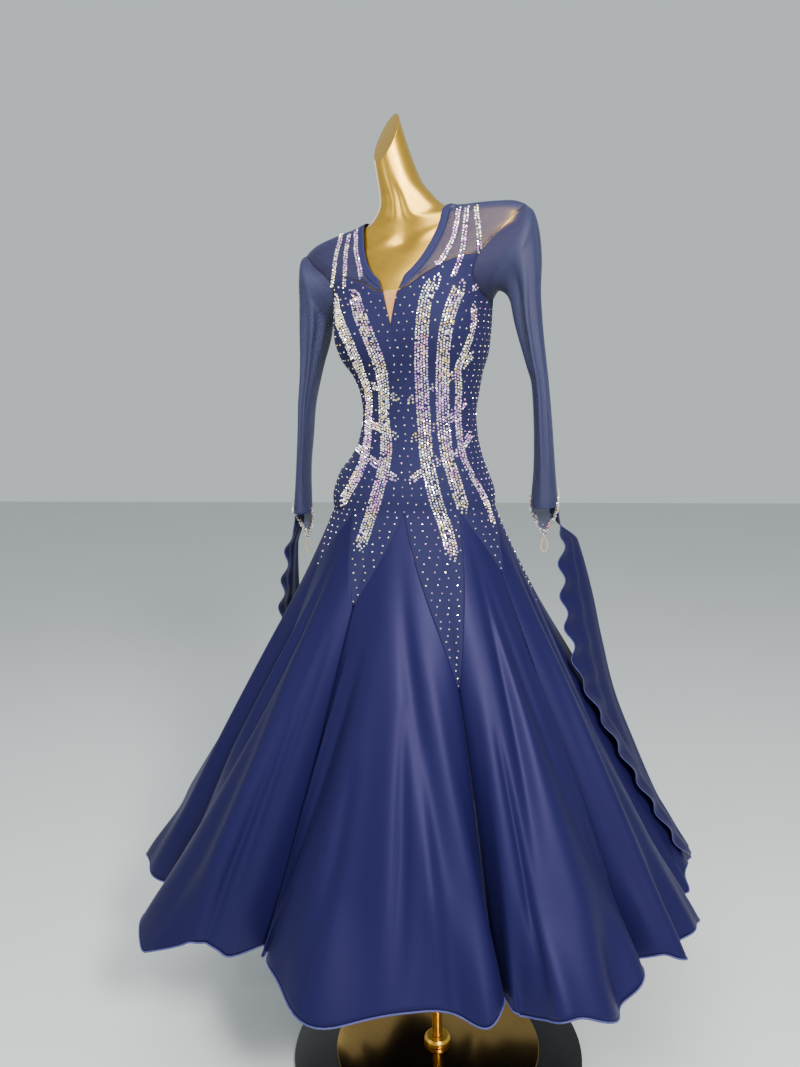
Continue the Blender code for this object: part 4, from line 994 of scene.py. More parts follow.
def make_back_yoke():
    """Sheer mesh behind, from one armhole to the other and up to the neck."""
    arm = BACK_TOP[0].angle

    def bottom(share):
        angle = lerp(arm, 360.0 - arm, share)
        return angle, bodice_top(angle) + SEAM_GAP

    def right_side(share):
        if share < 0.5:
            return armhole_point(lerp(270.0, 360.0 - RIDGE_TURN, share * 2.0), 1.0, SEAM_GAP)
        return shoulder_seam(share * 2.0 - 1.0, 1.0, RIDGE_LEAN)

    def left_side(share):
        angle, height = right_side(share)
        return 360.0 - angle, height

    def top(share):
        if share < 0.5:
            return neck_back_point(share * 2.0, 1.0)
        angle, height = neck_back_point(2.0 - share * 2.0, 1.0)
        return 360.0 - angle, height

    pulls = (
        Crease(0.12, 0.06, 0.40, 1.0, 0.03, 0.0018, 0.0), Crease(0.88, 0.95, 0.35, 1.0, 0.03, 0.0020, 0.0),
        Crease(0.42, 0.46, 0.10, 0.8, 0.05, 0.0012, 0.0), Crease(0.60, 0.55, 0.15, 0.7, 0.06, 0.0010, 0.0),
    )
    columns, rows = YOKE_COLUMNS * 2, YOKE_ROWS
    shape = grid_shape(columns, rows, coons_place(bottom, top, right_side, left_side))
    push_out(shape, columns, rows, pulls, inner_fade)
    yoke = finish_piece("yoke_back_mesh", shape, sheer)
    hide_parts("yoke_back")
    return yoke


yoke_back = make_back_yoke()
print("yokes made")

# %% [markdown]
# The neckline is finished with a doubled band of the same mesh, turned over and topstitched, so it
# is darker than the yoke. It lies on the yoke and follows the V and the back of the neck.

# %% Neck band and insert
BAND_WIDTH = 0.0125
BAND_COLUMNS = 132
BAND_ROWS = 16
BAND_OUT = MESH_OUT + 0.0009
BAND_EDGE_TURN = 0.0011
BAND_EDGE_SHARE = 0.08
BAND_WALL = 0.0005
FOOT_SHEAR = 0.030
SLIDE_STEPS = 4


def slide(angle, height, along, distance):
    """Angle and height that lie a distance away over the skin, in a direction."""
    for _ in range(SLIDE_STEPS):
        across, upward = skin_slopes(angle, height)
        normal = across.cross(upward).normalized()
        move = (along - normal * along.dot(normal)).normalized() * (distance / SLIDE_STEPS)
        aa, au, uu = across.dot(across), across.dot(upward), upward.dot(upward)
        ma, mu = move.dot(across), move.dot(upward)
        determinant = aa * uu - au * au
        angle += (ma * uu - mu * au) / determinant
        height += (mu * aa - ma * au) / determinant
    return angle, height


band_front = by_length(lambda share: neck_front_point(share, 1.0))
band_back = by_length(lambda share: neck_back_point(share, 1.0))


def band_path(share):
    """Angle and height along the neckline, from the left foot of the V round to the right."""
    away = abs(share * 2.0 - 1.0)
    angle, height = band_front((1.0 - away) * 2.0) if away > 0.5 else band_back(1.0 - away * 2.0)
    return (360.0 - angle, height) if share < 0.5 else (angle, height)


def band_place(u, v):
    """The rule of the band. Its two feet are cut along the seam of the bodice, not square."""
    step = 0.5 / BAND_COLUMNS
    u = lerp(FOOT_SHEAR * v, 1.0 - FOOT_SHEAR * v, u)
    here, before, after = (band_path(min(max(u + d, 0.0), 1.0)) for d in (0.0, -step, step))
    along = over_skin(*after, BAND_OUT) - over_skin(*before, BAND_OUT)
    across, upward = skin_slopes(*here)
    turned_in = math.exp(-(v / BAND_EDGE_SHARE) ** 2) + math.exp(-((v - 1.0) / BAND_EDGE_SHARE) ** 2)
    spot = slide(*here, along.cross(across.cross(upward)), BAND_WIDTH * v) if v > 0.0 else here
    return over_skin(*spot, BAND_OUT - BAND_EDGE_TURN * turned_in)


band_shape = grid_shape(BAND_COLUMNS, BAND_ROWS, band_place)
neck_band = finish_piece("neck_band_mesh", band_shape, band_mesh, wall=BAND_WALL)
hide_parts("neck_band")
INSERT_COLUMNS = 8
INSERT_ROWS = 20
INSERT_RISE = 0.004
INSERT_INSET = 0.3


def insert_place(u, v):
    """The narrow triangle of nude mesh in the foot of the V."""
    top, foot = NECK_FRONT[0].height, NOTCH_FOOT + INSERT_RISE
    height = lerp(top, foot, v)
    half = NOTCH_HALF_ANGLE * (height - NOTCH_FOOT) / (top - NOTCH_FOOT) - INSERT_INSET
    return over_skin(lerp(-half, half, u), height, MESH_OUT)


insert_shape = grid_shape(INSERT_COLUMNS, INSERT_ROWS, insert_place)
insert = finish_piece("neck_insert_mesh", insert_shape, nude_mesh)
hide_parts("neck_insert")
print("band and insert made")

# %% [markdown]
# A godet is a wedge of satin. Where it hangs free it makes one big round flute with softer folds
# that start near its point and open out on the way down. Each crease below is given one by one: where
# it starts and ends across the flute, where down it, how wide and how deep it is, and how it bends.
# No two are alike, and the hidden flutes have theirs as well.

# %% Creases of the godets
GODET_CREASES = {
    "godet_front": (
        Crease(0.60, 0.72, 0.05, 0.85, 0.050, -0.0090, 0.02),
        Crease(0.42, 0.36, 0.12, 1.60, 0.074, 0.0105, 0.02),
        Crease(0.50, 0.53, 0.20, 1.60, 0.063, -0.0120, -0.02),
        Crease(0.30, 0.16, 0.25, 1.60, 0.047, -0.0112, 0.00),
        Crease(0.80, 0.88, 0.30, 1.60, 0.053, 0.0090, 0.00),
        Crease(0.24, 0.28, 0.62, 1.60, 0.063, 0.0097, 0.03),
        Crease(0.56, 0.58, 0.40, 1.02, 0.020, -0.0110, 0.01),
        Crease(0.64, 0.67, 0.48, 1.30, 0.022, 0.0080, 0.00),
        Crease(0.38, 0.40, 0.52, 0.98, 0.018, -0.0090, 0.01),
        Crease(0.10, 0.07, 0.30, 1.20, 0.024, 0.0080, 0.00),
    ),
    "godet_front_right": (
        Crease(0.88, 0.92, 0.40, 1.30, 0.022, 0.0080, 0.00),
        Crease(0.30, 0.26, 0.45, 1.10, 0.020, -0.0090, 0.01),
        Crease(0.50, 0.34, 0.03, 0.80, 0.045, -0.0095, 0.01),
        Crease(0.62, 0.66, 0.04, 0.92, 0.055, -0.0085, 0.03),
        Crease(0.40, 0.50, 0.20, 1.60, 0.068, 0.0120, -0.02),
        Crease(0.80, 0.84, 0.18, 0.90, 0.045, 0.0065, 0.00),
        Crease(0.20, 0.14, 0.35, 1.60, 0.053, 0.0083, 0.01),
        Crease(0.72, 0.76, 0.55, 1.60, 0.058, -0.0090, 0.00),
    ),
    "godet_side_right": (
        Crease(0.55, 0.58, 0.03, 0.75, 0.050, -0.0085, 0.02),
        Crease(0.35, 0.28, 0.08, 1.60, 0.063, 0.0112, 0.02),
        Crease(0.72, 0.80, 0.22, 1.60, 0.058, -0.0090, -0.01),
        Crease(0.45, 0.42, 0.40, 1.60, 0.053, -0.0097, 0.00),
    ),
    "godet_front_left": (
        Crease(0.10, 0.08, 0.30, 1.30, 0.024, 0.0085, 0.00),
        Crease(0.74, 0.78, 0.45, 1.20, 0.022, -0.0100, 0.00),
        Crease(0.52, 0.40, 0.04, 0.82, 0.050, -0.0100, -0.02),
        Crease(0.38, 0.22, 0.10, 1.60, 0.053, 0.0120, 0.00),
        Crease(0.66, 0.70, 0.08, 1.60, 0.063, 0.0112, 0.02),
        Crease(0.58, 0.56, 0.35, 1.60, 0.058, -0.0120, 0.02),
        Crease(0.82, 0.86, 0.25, 0.92, 0.040, -0.0060, 0.00),
        Crease(0.25, 0.33, 0.60, 1.60, 0.063, -0.0105, 0.00),
    ),
    "godet_side_left": (
        Crease(0.45, 0.52, 0.05, 0.80, 0.050, -0.0085, 0.01),
        Crease(0.60, 0.74, 0.12, 1.60, 0.058, 0.0120, 0.00),
        Crease(0.32, 0.26, 0.18, 1.60, 0.063, -0.0105, 0.02),
        Crease(0.50, 0.44, 0.50, 1.60, 0.063, 0.0112, 0.00),
    ),
    "godet_back_left": (
        Crease(0.52, 0.46, 0.05, 0.88, 0.055, -0.0080, 0.02),
        Crease(0.70, 0.78, 0.15, 1.60, 0.053, 0.0097, 0.00),
        Crease(0.34, 0.30, 0.28, 1.60, 0.063, 0.0112, -0.02),
    ),
    "godet_rear_left": (
        Crease(0.48, 0.56, 0.04, 0.78, 0.050, -0.0090, 0.00),
        Crease(0.30, 0.20, 0.20, 1.60, 0.058, 0.0105, 0.01),
        Crease(0.66, 0.70, 0.30, 1.60, 0.063, -0.0097, 0.02),
    ),
    "godet_rear_right": (
        Crease(0.54, 0.48, 0.04, 0.92, 0.055, -0.0085, -0.02),
        Crease(0.70, 0.82, 0.22, 1.60, 0.053, 0.0105, 0.00),
        Crease(0.36, 0.34, 0.32, 1.60, 0.058, 0.0112, 0.02),
    ),
    "godet_back_right": (
        Crease(0.50, 0.60, 0.05, 0.80, 0.050, -0.0080, 0.01),
        Crease(0.36, 0.28, 0.14, 1.60, 0.063, 0.0112, 0.00),
        Crease(0.68, 0.66, 0.40, 1.60, 0.058, 0.0097, 0.00),
    ),
}
print("creases in the skirt:", sum(len(creases) for creases in GODET_CREASES.values()))

# %% [markdown]
# The grid of a godet covers only the cloth between two tongues, which widens on the way down. Its
# creases are measured across the whole flute instead, so they run straight past the tips of the
# tongues. The stiff thread in the hem throws it into waves, and a thin roll finishes its edge.

# %% Godets
GODET_TOP = 0.002
GODET_COLUMNS = 72
GODET_ROWS = 96
HEM_WAVES = 2.6
HEM_WAVE_DEPTH = 0.0165
HEM_WAVE_RISE = 0.0125
HEM_WAVE_FROM = 0.78
HEM_WAVE_EDGE = 6.0
SECOND_WAVE = 0.35
SECOND_WAVE_PACE = 2.3
RISE_PACE = 1.15
PHASE_STEP = 1.7
CREASE_EDGE = 10.0
CREASE_FROM = 0.40
HEM_ROLL = 0.0016
HEM_ROLL_DROP = 0.4


def godet_across(index, gap_share=0.0):
    """Turns a share across a godet's own cloth into a share across the whole flute."""
    def across(u, v):
        share = lerp(GODET_TOP, 1.0, v)
        gap = gap_share and gap_share / 2.0 / godet_width(index, share)
        left = tongue_share(VALLEYS[index], share) + gap
        return lerp(left, 1.0 - tongue_share(VALLEYS[index + 1], share) - gap, u)

    return across


def godet_place(index):
    """The rule that carries a grid to a godet, with the waves of its hem."""
    phase = PHASE_STEP * index
    across = godet_across(index, SEAM_GAP)

    def place(u, v):
        share = lerp(GODET_TOP, 1.0, v)
        point = skirt_point(index, across(u, v), share)
        held = min(1.0, HEM_WAVE_EDGE * u, HEM_WAVE_EDGE * (1.0 - u))
        loose = ease((share - HEM_WAVE_FROM) / (1.0 - HEM_WAVE_FROM)) * held
        turn_angle = 2.0 * math.pi * HEM_WAVES * u + phase
        outward = Vector((point.x, point.y, 0.0)).normalized()
        swing = math.sin(turn_angle) + SECOND_WAVE * math.sin(SECOND_WAVE_PACE * turn_angle + phase)
        point += outward * (HEM_WAVE_DEPTH * swing * loose)
        point.z += HEM_WAVE_RISE * math.cos(RISE_PACE * turn_angle + phase) * loose
        return point

    return place


def straight_creases(index, creases):
    """The same creases, with their ends given as shares across the whole flute."""
    across = godet_across(index)
    result = []
    for crease in creases:
        top = across(crease.u_top, crease.v_top)
        end = across(crease.u_end, min(crease.v_end, 1.0))
        if crease.v_end > 1.0:
            end = lerp(top, end, (crease.v_end - crease.v_top) / (1.0 - crease.v_top))
        result.append(crease._replace(u_top=top, u_end=end))
    return result


def crease_fade(u, v):
    """Creases die out at the sewn edges and near the point, and at the hem they stay."""
    return min(1.0, CREASE_EDGE * u) * min(1.0, CREASE_EDGE * (1.0 - u)) * ease(v / CREASE_FROM)


def hem_roll(name, points, radius, material):
    """A rolled hem: a thin tube along a line of points."""
    curve = bpy.data.curves.new(name, "CURVE")
    curve.dimensions = "3D"
    curve.bevel_depth = radius
    curve.bevel_resolution = 2
    curve.use_fill_caps = True
    line = curve.splines.new("POLY")
    line.points.add(len(points) - 1)
    for spot, point in zip(line.points, points):
        spot.co = (*point, 1.0)
    tube = bpy.data.objects.new(name, curve)
    bpy.context.scene.collection.objects.link(tube)
    mesh = bpy.data.meshes.new_from_object(tube)
    bpy.data.objects.remove(tube)
    mesh.name = name
    mesh.materials.clear()
    mesh.materials.append(material)
    mesh.shade_smooth()
    piece = bpy.data.objects.new(name, mesh)
    bpy.context.scene.collection.objects.link(piece)
    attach(piece, "root")


godets = []
for index, godet in enumerate(GODETS):
    shape = grid_shape(GODET_COLUMNS, GODET_ROWS, godet_place(index))
    creases = straight_creases(index, GODET_CREASES[godet.node])
    push_out(shape, GODET_COLUMNS, GODET_ROWS, creases, crease_fade, godet_across(index))
    shape.verts.ensure_lookup_table()
    drop = Vector((0.0, 0.0, HEM_ROLL * HEM_ROLL_DROP))
    hem_points = [shape.verts[column].co - drop for column in range(GODET_COLUMNS + 1)]
    piece = finish_piece(godet.node + "_satin", shape, satin)
    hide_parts(godet.node)
    hem_roll(godet.node + "_hem", hem_points, HEM_ROLL, hem_thread)
    godets.append(piece)
print("godets:", len(godets), "with", len(godets[0].data.polygons), "faces each")

# %% [markdown]
# The sleeves are long tubes of mesh that hang empty, so they are flat in front and behind and the
# cloth falls in upright folds. The rings of the tube are read from the same tables as its solid,
# and a smooth curve runs down through them from the armhole to the pointed cuff.

# %% Sleeves
Ring = namedtuple("Ring", "outer_height inner_height outer_reach inner_reach back half_depth")
RIGHT_SLEEVE = (
    Ring(1.622, 1.496, 0.1900, 0.1290, -0.050, 0.0560), Ring(1.590, 1.489, 0.1990, 0.1430, -0.052, 0.0560),
    Ring(1.545, 1.472, 0.2030, 0.1510, -0.054, 0.0540), Ring(1.490, 1.440, 0.2020, 0.1580, -0.056, 0.0510),
    Ring(1.430, 1.405, 0.2060, 0.1670, -0.057, 0.0470), Ring(1.371, 1.366, 0.2125, 0.1780, -0.058, 0.0440),
    Ring(1.336, 1.336, 0.2165, 0.1860, -0.058, 0.0420), Ring(1.268, 1.268, 0.2225, 0.1900, -0.058, 0.0390),
    Ring(1.198, 1.198, 0.2275, 0.1900, -0.056, 0.0350), Ring(1.155, 1.155, 0.2310, 0.1870, -0.054, 0.0320),
    Ring(1.126, 1.126, 0.2330, 0.1850, -0.052, 0.0310),
)
LEFT_SLEEVE = (
    Ring(1.574, 1.452, 0.2400, 0.1810, 0.044, 0.0560), Ring(1.543, 1.448, 0.2450, 0.1880, 0.045, 0.0560),
    Ring(1.500, 1.435, 0.2460, 0.1910, 0.046, 0.0540), Ring(1.450, 1.415, 0.2480, 0.1970, 0.047, 0.0510),
    Ring(1.405, 1.390, 0.2490, 0.2060, 0.048, 0.0470), Ring(1.364, 1.360, 0.2510, 0.2150, 0.049, 0.0440),
    Ring(1.308, 1.308, 0.2560, 0.2280, 0.050, 0.0420), Ring(1.252, 1.252, 0.2600, 0.2340, 0.050, 0.0390),
    Ring(1.196, 1.196, 0.2650, 0.2400, 0.050, 0.0350), Ring(1.140, 1.140, 0.2710, 0.2410, 0.050, 0.0320),
    Ring(1.100, 1.100, 0.2760, 0.2400, 0.050, 0.0310),
)
CUFF_POINT_DROP = 0.060
CUFF_POINT_ANGLE = 270.0
CUFF_POINT_SPREAD = 90.0
SLEEVE_COLUMNS = 72
SLEEVE_ROWS = 110
SLEEVE_FADE = 0.08
SLEEVE_FADE_END = 1.04


def sleeve_ring_point(ring, turn_angle, side, out=0.0):
    """A point of a flattened sleeve; the turn is 0 at the outer edge and 90 at the front."""
    cosine, sine = math.cos(math.radians(turn_angle)), math.sin(math.radians(turn_angle))
    reach = (ring.outer_reach + ring.inner_reach) / 2.0
    half_reach = (ring.outer_reach - ring.inner_reach) / 2.0 + out
    height = lerp(ring.inner_height, ring.outer_height, (cosine + 1.0) / 2.0)
    depth = ring.half_depth + out
    return Vector((side * (reach + half_reach * cosine), ring.back - depth * sine, height))


def cuff_drop(turn_angle):
    """How far the pointed cuff hangs below the front edge."""
    return CUFF_POINT_DROP * max(0.0, 1.0 - abs(turn_angle - CUFF_POINT_ANGLE) / CUFF_POINT_SPREAD)


def sleeve_place(rings, side):
    """The rule that carries a grid to a sleeve; u runs round it and v down it."""
    @lru_cache(maxsize=None)
    def column(turn_angle):
        line = [over_skin(*armhole_point(turn_angle, side, -SEAM_GAP), MESH_OUT)]
        line += [sleeve_ring_point(ring, turn_angle, side) for ring in rings]
        line[-1].z -= cuff_drop(turn_angle)
        return line

    def place(u, v):
        turn_angle = 360.0 * u if side < 0.0 else 360.0 * (1.0 - u)
        return along_spline(column(round(turn_angle, 6) % 360.0), v)

    return place


RIGHT_SLEEVE_CREASES = (
    Crease(0.665, 0.640, 0.08, 0.78, 0.028, -0.0085, 0.01),
    Crease(0.585, 0.600, 0.05, 0.60, 0.030, 0.0045, 0.00),
    Crease(0.790, 0.770, 0.14, 0.98, 0.026, -0.0035, 0.00),
    Crease(0.860, 0.830, 0.10, 0.90, 0.026, 0.0032, 0.01),
    Crease(0.930, 0.905, 0.05, 0.70, 0.022, -0.0028, 0.00),
    Crease(0.720, 0.700, 0.30, 1.00, 0.024, 0.0030, 0.00),
    Crease(0.300, 0.330, 0.10, 0.85, 0.035, -0.0050, 0.00),
    Crease(0.180, 0.200, 0.20, 0.95, 0.030, 0.0040, 0.01),
    Crease(0.400, 0.380, 0.25, 0.75, 0.025, 0.0035, 0.00),
)
LEFT_SLEEVE_CREASES = (
    Crease(0.340, 0.350, 0.08, 0.74, 0.028, -0.0075, 0.01),
    Crease(0.235, 0.245, 0.12, 0.95, 0.026, -0.0032, 0.00),
    Crease(0.160, 0.190, 0.06, 0.80, 0.026, 0.0034, 0.00),
    Crease(0.290, 0.300, 0.25, 1.00, 0.024, 0.0032, 0.00),
    Crease(0.410, 0.395, 0.05, 0.55, 0.028, 0.0040, 0.00),
    Crease(0.660, 0.690, 0.10, 0.80, 0.032, -0.0045, 0.00),
    Crease(0.800, 0.780, 0.18, 0.95, 0.030, 0.0040, 0.01),
)


def sleeve_fade(u, v):
    """Creases of a sleeve die out at the armhole and fade to half at the cuff."""
    return ease(v / SLEEVE_FADE) * ease((SLEEVE_FADE_END - v) / SLEEVE_FADE)


def make_sleeve(name, rings, side, node, creases):
    """One sleeve: a grid rolled into a tube, creased, and merged along its seam."""
    shape = grid_shape(SLEEVE_COLUMNS, SLEEVE_ROWS, sleeve_place(rings, side))
    push_out(shape, SLEEVE_COLUMNS, SLEEVE_ROWS, creases, sleeve_fade)
    bmesh.ops.remove_doubles(shape, verts=shape.verts[:], dist=MERGE_DISTANCE)
    sleeve = finish_piece(name, shape, sheer)
    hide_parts(node)


make_sleeve("sleeve_right_mesh", RIGHT_SLEEVE, 1.0, "sleeve_right", RIGHT_SLEEVE_CREASES)
make_sleeve("sleeve_left_mesh", LEFT_SLEEVE, -1.0, "sleeve_left", LEFT_SLEEVE_CREASES)
print("sleeves made")

# %% [markdown]
# The floats are strips of the skirt's satin, sewn round the outside of the cuffs. One long edge is
# cut on a curve, which makes it ripple, and the other hangs straight.

# %% Floats
FloatRow = namedtuple("FloatRow", "height inner_angle inner_radius outer_angle outer_radius")
RIGHT_FLOAT = (
    FloatRow(1.122, 80.0, 0.240, 86.0, 0.2400), FloatRow(1.090, 85.0, 0.243, 94.0, 0.2560),
    FloatRow(1.030, 92.0, 0.240, 104.0, 0.2850), FloatRow(0.930, 94.0, 0.246, 109.0, 0.3200),
    FloatRow(0.850, 95.0, 0.262, 111.0, 0.3420), FloatRow(0.730, 96.0, 0.292, 112.0, 0.3760),
    FloatRow(0.610, 97.0, 0.340, 112.0, 0.4250), FloatRow(0.520, 98.0, 0.378, 112.0, 0.4650),
    FloatRow(0.440, 99.0, 0.430, 111.0, 0.5050), FloatRow(0.400, 102.0, 0.470, 110.0, 0.5250),
)
LEFT_FLOAT = (
    FloatRow(1.096, -101.0, 0.2860, -107.0, 0.2860), FloatRow(1.060, -101.0, 0.2940, -110.0, 0.3020),
    FloatRow(1.000, -102.0, 0.3080, -114.0, 0.3240), FloatRow(0.920, -104.0, 0.3280, -118.0, 0.3460),
    FloatRow(0.850, -106.0, 0.3430, -121.0, 0.3660), FloatRow(0.730, -108.0, 0.3750, -124.0, 0.4000),
    FloatRow(0.610, -110.0, 0.4150, -126.0, 0.4450), FloatRow(0.520, -111.0, 0.4450, -127.0, 0.4800),
    FloatRow(0.440, -113.0, 0.4800, -127.0, 0.5150), FloatRow(0.400, -115.0, 0.5000, -126.0, 0.5300),
)
FLOAT_COLUMNS = 28
FLOAT_STEPS = 230
FLOAT_WAVES = 11.5
FLOAT_WAVE_DEPTH = 0.0062
FLOAT_WAVE_POWER = 2.4
FLOAT_CLEARANCE = 0.009
FLOAT_LIFT = 0.8
FLOAT_GATHER = 0.0022
FLOAT_FOLDS = 2.5
FLOAT_FOLD_TURN = 0.6
FLOAT_EDGE_ROLL = 0.0009
FLOAT_SEWN_FROM = 345.0
FLOAT_SEWN_TO = 290.0
FLOAT_SEWN_SHARE = 0.10
SATIN_WALL = 0.0015
LAP_GAP = 0.0004
OUTLINE_STEPS = 24
OUTLINE_REACH = 9.0
OUTLINE_FALL = 0.026


@lru_cache(maxsize=None)
def skirt_outline(height):
    """The skirt's outline at a height, as angles round the pole and distances from it."""
    share = (PEAK_HEIGHT - height) / (PEAK_HEIGHT - HEM_HEIGHT)
    if share <= 0.0:
        return ()
    outline = []
    for index in range(len(GODETS)):
        for step in range(OUTLINE_STEPS + 1):
            point = skirt_point(index, step / OUTLINE_STEPS, min(share, 1.0))
            outline.append((math.degrees(math.atan2(point.x, -point.y)), math.hypot(point.x, point.y)))
    return tuple(outline)


def skirt_radius(angle, height):
    """Distance from the pole to a smooth cover over the skirt at an angle and a height."""
    cover = 0.0
    for seen, radius in skirt_outline(height):
        away = abs((seen - angle + 180.0) % 360.0 - 180.0) / OUTLINE_REACH
        if away < 1.0:
            cover = max(cover, radius - OUTLINE_FALL * away * away)
    return cover


def float_place(table, rings, side):
    """The rule that carries a grid to a float, hung from the cuff and kept clear of the skirt."""
    falling = tuple((-row.height, *row[1:]) for row in table)
    top_height, end_height = table[0].height, table[-1].height

    def place(u, v):
        across = u if side > 0.0 else 1.0 - u
        height = lerp(top_height, end_height, v)
        inner_angle, inner_radius, outer_angle, outer_radius = smooth_table(falling, -height)
        loose = ease(v / FLOAT_SEWN_SHARE)
        angle = lerp(inner_angle, outer_angle, across)
        wave = math.sin(2.0 * math.pi * FLOAT_WAVES * v) * (1.0 - across) ** FLOAT_WAVE_POWER * loose
        fold = math.sin(2.0 * math.pi * (FLOAT_FOLDS * across + FLOAT_FOLD_TURN * v))
        gather = FLOAT_GATHER * fold * math.sin(math.pi * across)
        radius = lerp(inner_radius, outer_radius, across) + FLOAT_WAVE_DEPTH * wave
        lift = FLOAT_LIFT * FLOAT_WAVE_DEPTH * (1.0 + wave)
        clear = skirt_radius(angle, height) + FLOAT_CLEARANCE + lift
        hanging = polar(angle, max(radius, clear) + gather, height)
        sewn_turn = lerp(FLOAT_SEWN_FROM, FLOAT_SEWN_TO, across)
        sewn = sleeve_ring_point(rings[-1], sewn_turn, side, LAP_GAP + SATIN_WALL)
        sewn.z = height
        return sewn.lerp(hanging, loose)

    return place


def make_float(name, table, rings, side, node):
    """One float with the roll of its wavy edge."""
    shape = grid_shape(FLOAT_COLUMNS, FLOAT_STEPS, float_place(table, rings, side))
    shape.verts.ensure_lookup_table()
    wavy = 0 if side > 0.0 else FLOAT_COLUMNS
    edge = [shape.verts[row * (FLOAT_COLUMNS + 1) + wavy].co.copy() for row in range(FLOAT_STEPS + 1)]
    piece = finish_piece(name, shape, satin)
    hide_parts(node)
    hem_roll(name + "_edge", edge, FLOAT_EDGE_ROLL, hem_thread)
    return piece


float_right = make_float("float_right_satin", RIGHT_FLOAT, RIGHT_SLEEVE, 1.0, "float_right")
float_left = make_float("float_left_satin", LEFT_FLOAT, LEFT_SLEEVE, -1.0, "float_left")
print("floats made")

# %% [markdown]
# A sheet of cloth has a size before it is sewn. Each row gives the rectangle that a piece is cut
# from, the piece's own area in that rectangle, how it is held, and what it rests on. A tube such as
# a sleeve is given all the way round.

# %% Flat sizes of the cloth
Cut = namedtuple("Cut", "piece width length area held rests_on")
CUTS = (
    Cut("bodice_front_crepe", 0.36, 0.72, 0.165, "stretched", "form_skin"),
    Cut("bodice_back_crepe", 0.48, 0.73, 0.224, "stretched", "form_skin"),
    Cut("yoke_front_left_mesh", 0.17, 0.15, 0.0132, "stretched", "form_skin"),
    Cut("yoke_front_right_mesh", 0.17, 0.15, 0.0135, "stretched", "form_skin"),
    Cut("yoke_back_mesh", 0.41, 0.16, 0.0440, "stretched", "form_skin"),
    Cut("neck_band_mesh", 0.0125, 0.61, 0.0074, "stretched", "form_skin"),
    Cut("neck_insert_mesh", 0.024, 0.056, 0.0007, "stretched", "form_skin"),
    Cut("sleeve_left_mesh", 0.29, 0.57, 0.102, "hung", "yoke_front_left_mesh"),
    Cut("sleeve_right_mesh", 0.32, 0.60, 0.114, "hung", "yoke_front_right_mesh"),
    Cut("float_left_satin", 0.13, 0.75, 0.076, "hung", "sleeve_left_mesh"),
    Cut("float_right_satin", 0.14, 0.82, 0.083, "hung", "sleeve_right_mesh"),
    Cut("godet_rear_left_satin", 0.52, 0.86, 0.198, "hung", "bodice_back_crepe"),
    Cut("godet_back_left_satin", 0.51, 0.84, 0.194, "hung", "bodice_back_crepe"),
    Cut("godet_side_left_satin", 0.53, 0.85, 0.201, "hung", "bodice_front_crepe"),
    Cut("godet_front_left_satin", 0.54, 0.85, 0.209, "hung", "bodice_front_crepe"),
    Cut("godet_front_satin", 0.65, 0.82, 0.240, "hung", "bodice_front_crepe"),
    Cut("godet_front_right_satin", 0.46, 0.84, 0.185, "hung", "bodice_front_crepe"),
    Cut("godet_side_right_satin", 0.39, 0.85, 0.158, "hung", "bodice_front_crepe"),
    Cut("godet_back_right_satin", 0.55, 0.88, 0.208, "hung", "bodice_back_crepe"),
    Cut("godet_rear_right_satin", 0.52, 0.85, 0.206, "hung", "bodice_back_crepe"),
)


def across_and_down(piece, columns):
    """Length of a grid's lowest and middle rows, and of its middle column, on the dress."""
    spots = [vert.co for vert in piece.data.vertices]
    rows = [spots[start:start + columns + 1] for start in range(0, len(spots), columns + 1)]
    middle = [row[columns // 2] for row in rows]
    lines = (rows[0], rows[len(rows) // 2], middle)
    return [round(sum((b - a).length for a, b in zip(line, line[1:])), 3) for line in lines]


for cut in CUTS:
    piece = bpy.data.objects[cut.piece]
    hung = sum(face.area for face in piece.data.polygons)
    print(f"{cut.piece}: cut {cut.area:.4f} m2, on the dress {hung:.4f} m2")
for piece in godets:
    print(piece.name, "hem, middle, length", across_and_down(piece, GODET_COLUMNS))
for piece in (float_left, float_right):
    print(piece.name, "hem, middle, length", across_and_down(piece, FLOAT_COLUMNS))

# %% [markdown]
# A loop of thin elastic hangs from the point of each cuff, and goes round the wearer's middle
# finger. It has the shape of a drop: two legs that start side by side and meet in a round bow.

# %% Finger loops
ELASTIC_DIAMETER = 0.0016
LOOP_WIDTH = 0.016
LOOP_DROP = 0.028
LOOP_START = 0.2
LOOP_RISE = 0.0014
LOOP_POINTS = 13
FACE_GAP = 0.0003


def make_loop(name, rings, side, node):
    """A loop of elastic under the point of a cuff."""
    tip = sleeve_ring_point(rings[-1], CUFF_POINT_ANGLE, side, -MESH_WALL / 2.0)
    tip.z += LOOP_RISE - CUFF_POINT_DROP - ELASTIC_DIAMETER / 2.0 - 2.0 * FACE_GAP
    curve = bpy.data.curves.new(name, "CURVE")
    curve.dimensions = "3D"
    curve.bevel_depth = ELASTIC_DIAMETER / 2.0
    curve.bevel_resolution = 3
    curve.use_fill_caps = True
    curve.materials.append(elastic)
    spline = curve.splines.new("POLY")
    spline.points.add(LOOP_POINTS - 1)
    for i, point in enumerate(spline.points):
        turn_angle = math.pi * lerp(LOOP_START, 2.0 - LOOP_START, i / (LOOP_POINTS - 1))
        swing = math.sin(turn_angle) * math.sin(turn_angle / 2.0)
        fall = math.cos(math.pi * LOOP_START) - math.cos(turn_angle)
        place = tip + Vector((-LOOP_WIDTH / 2.0 * swing, 0.0, -LOOP_DROP / 2.0 * fall))
        point.co = (*place, 1.0)
    loop = bpy.data.objects.new(name, curve)
    bpy.context.scene.collection.objects.link(loop)
    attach(loop, "root")
    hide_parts(node)


make_loop("finger_elastic_left", LEFT_SLEEVE, -1.0, "finger_loop_left")
make_loop("finger_elastic_right", RIGHT_SLEEVE, 1.0, "finger_loop_right")

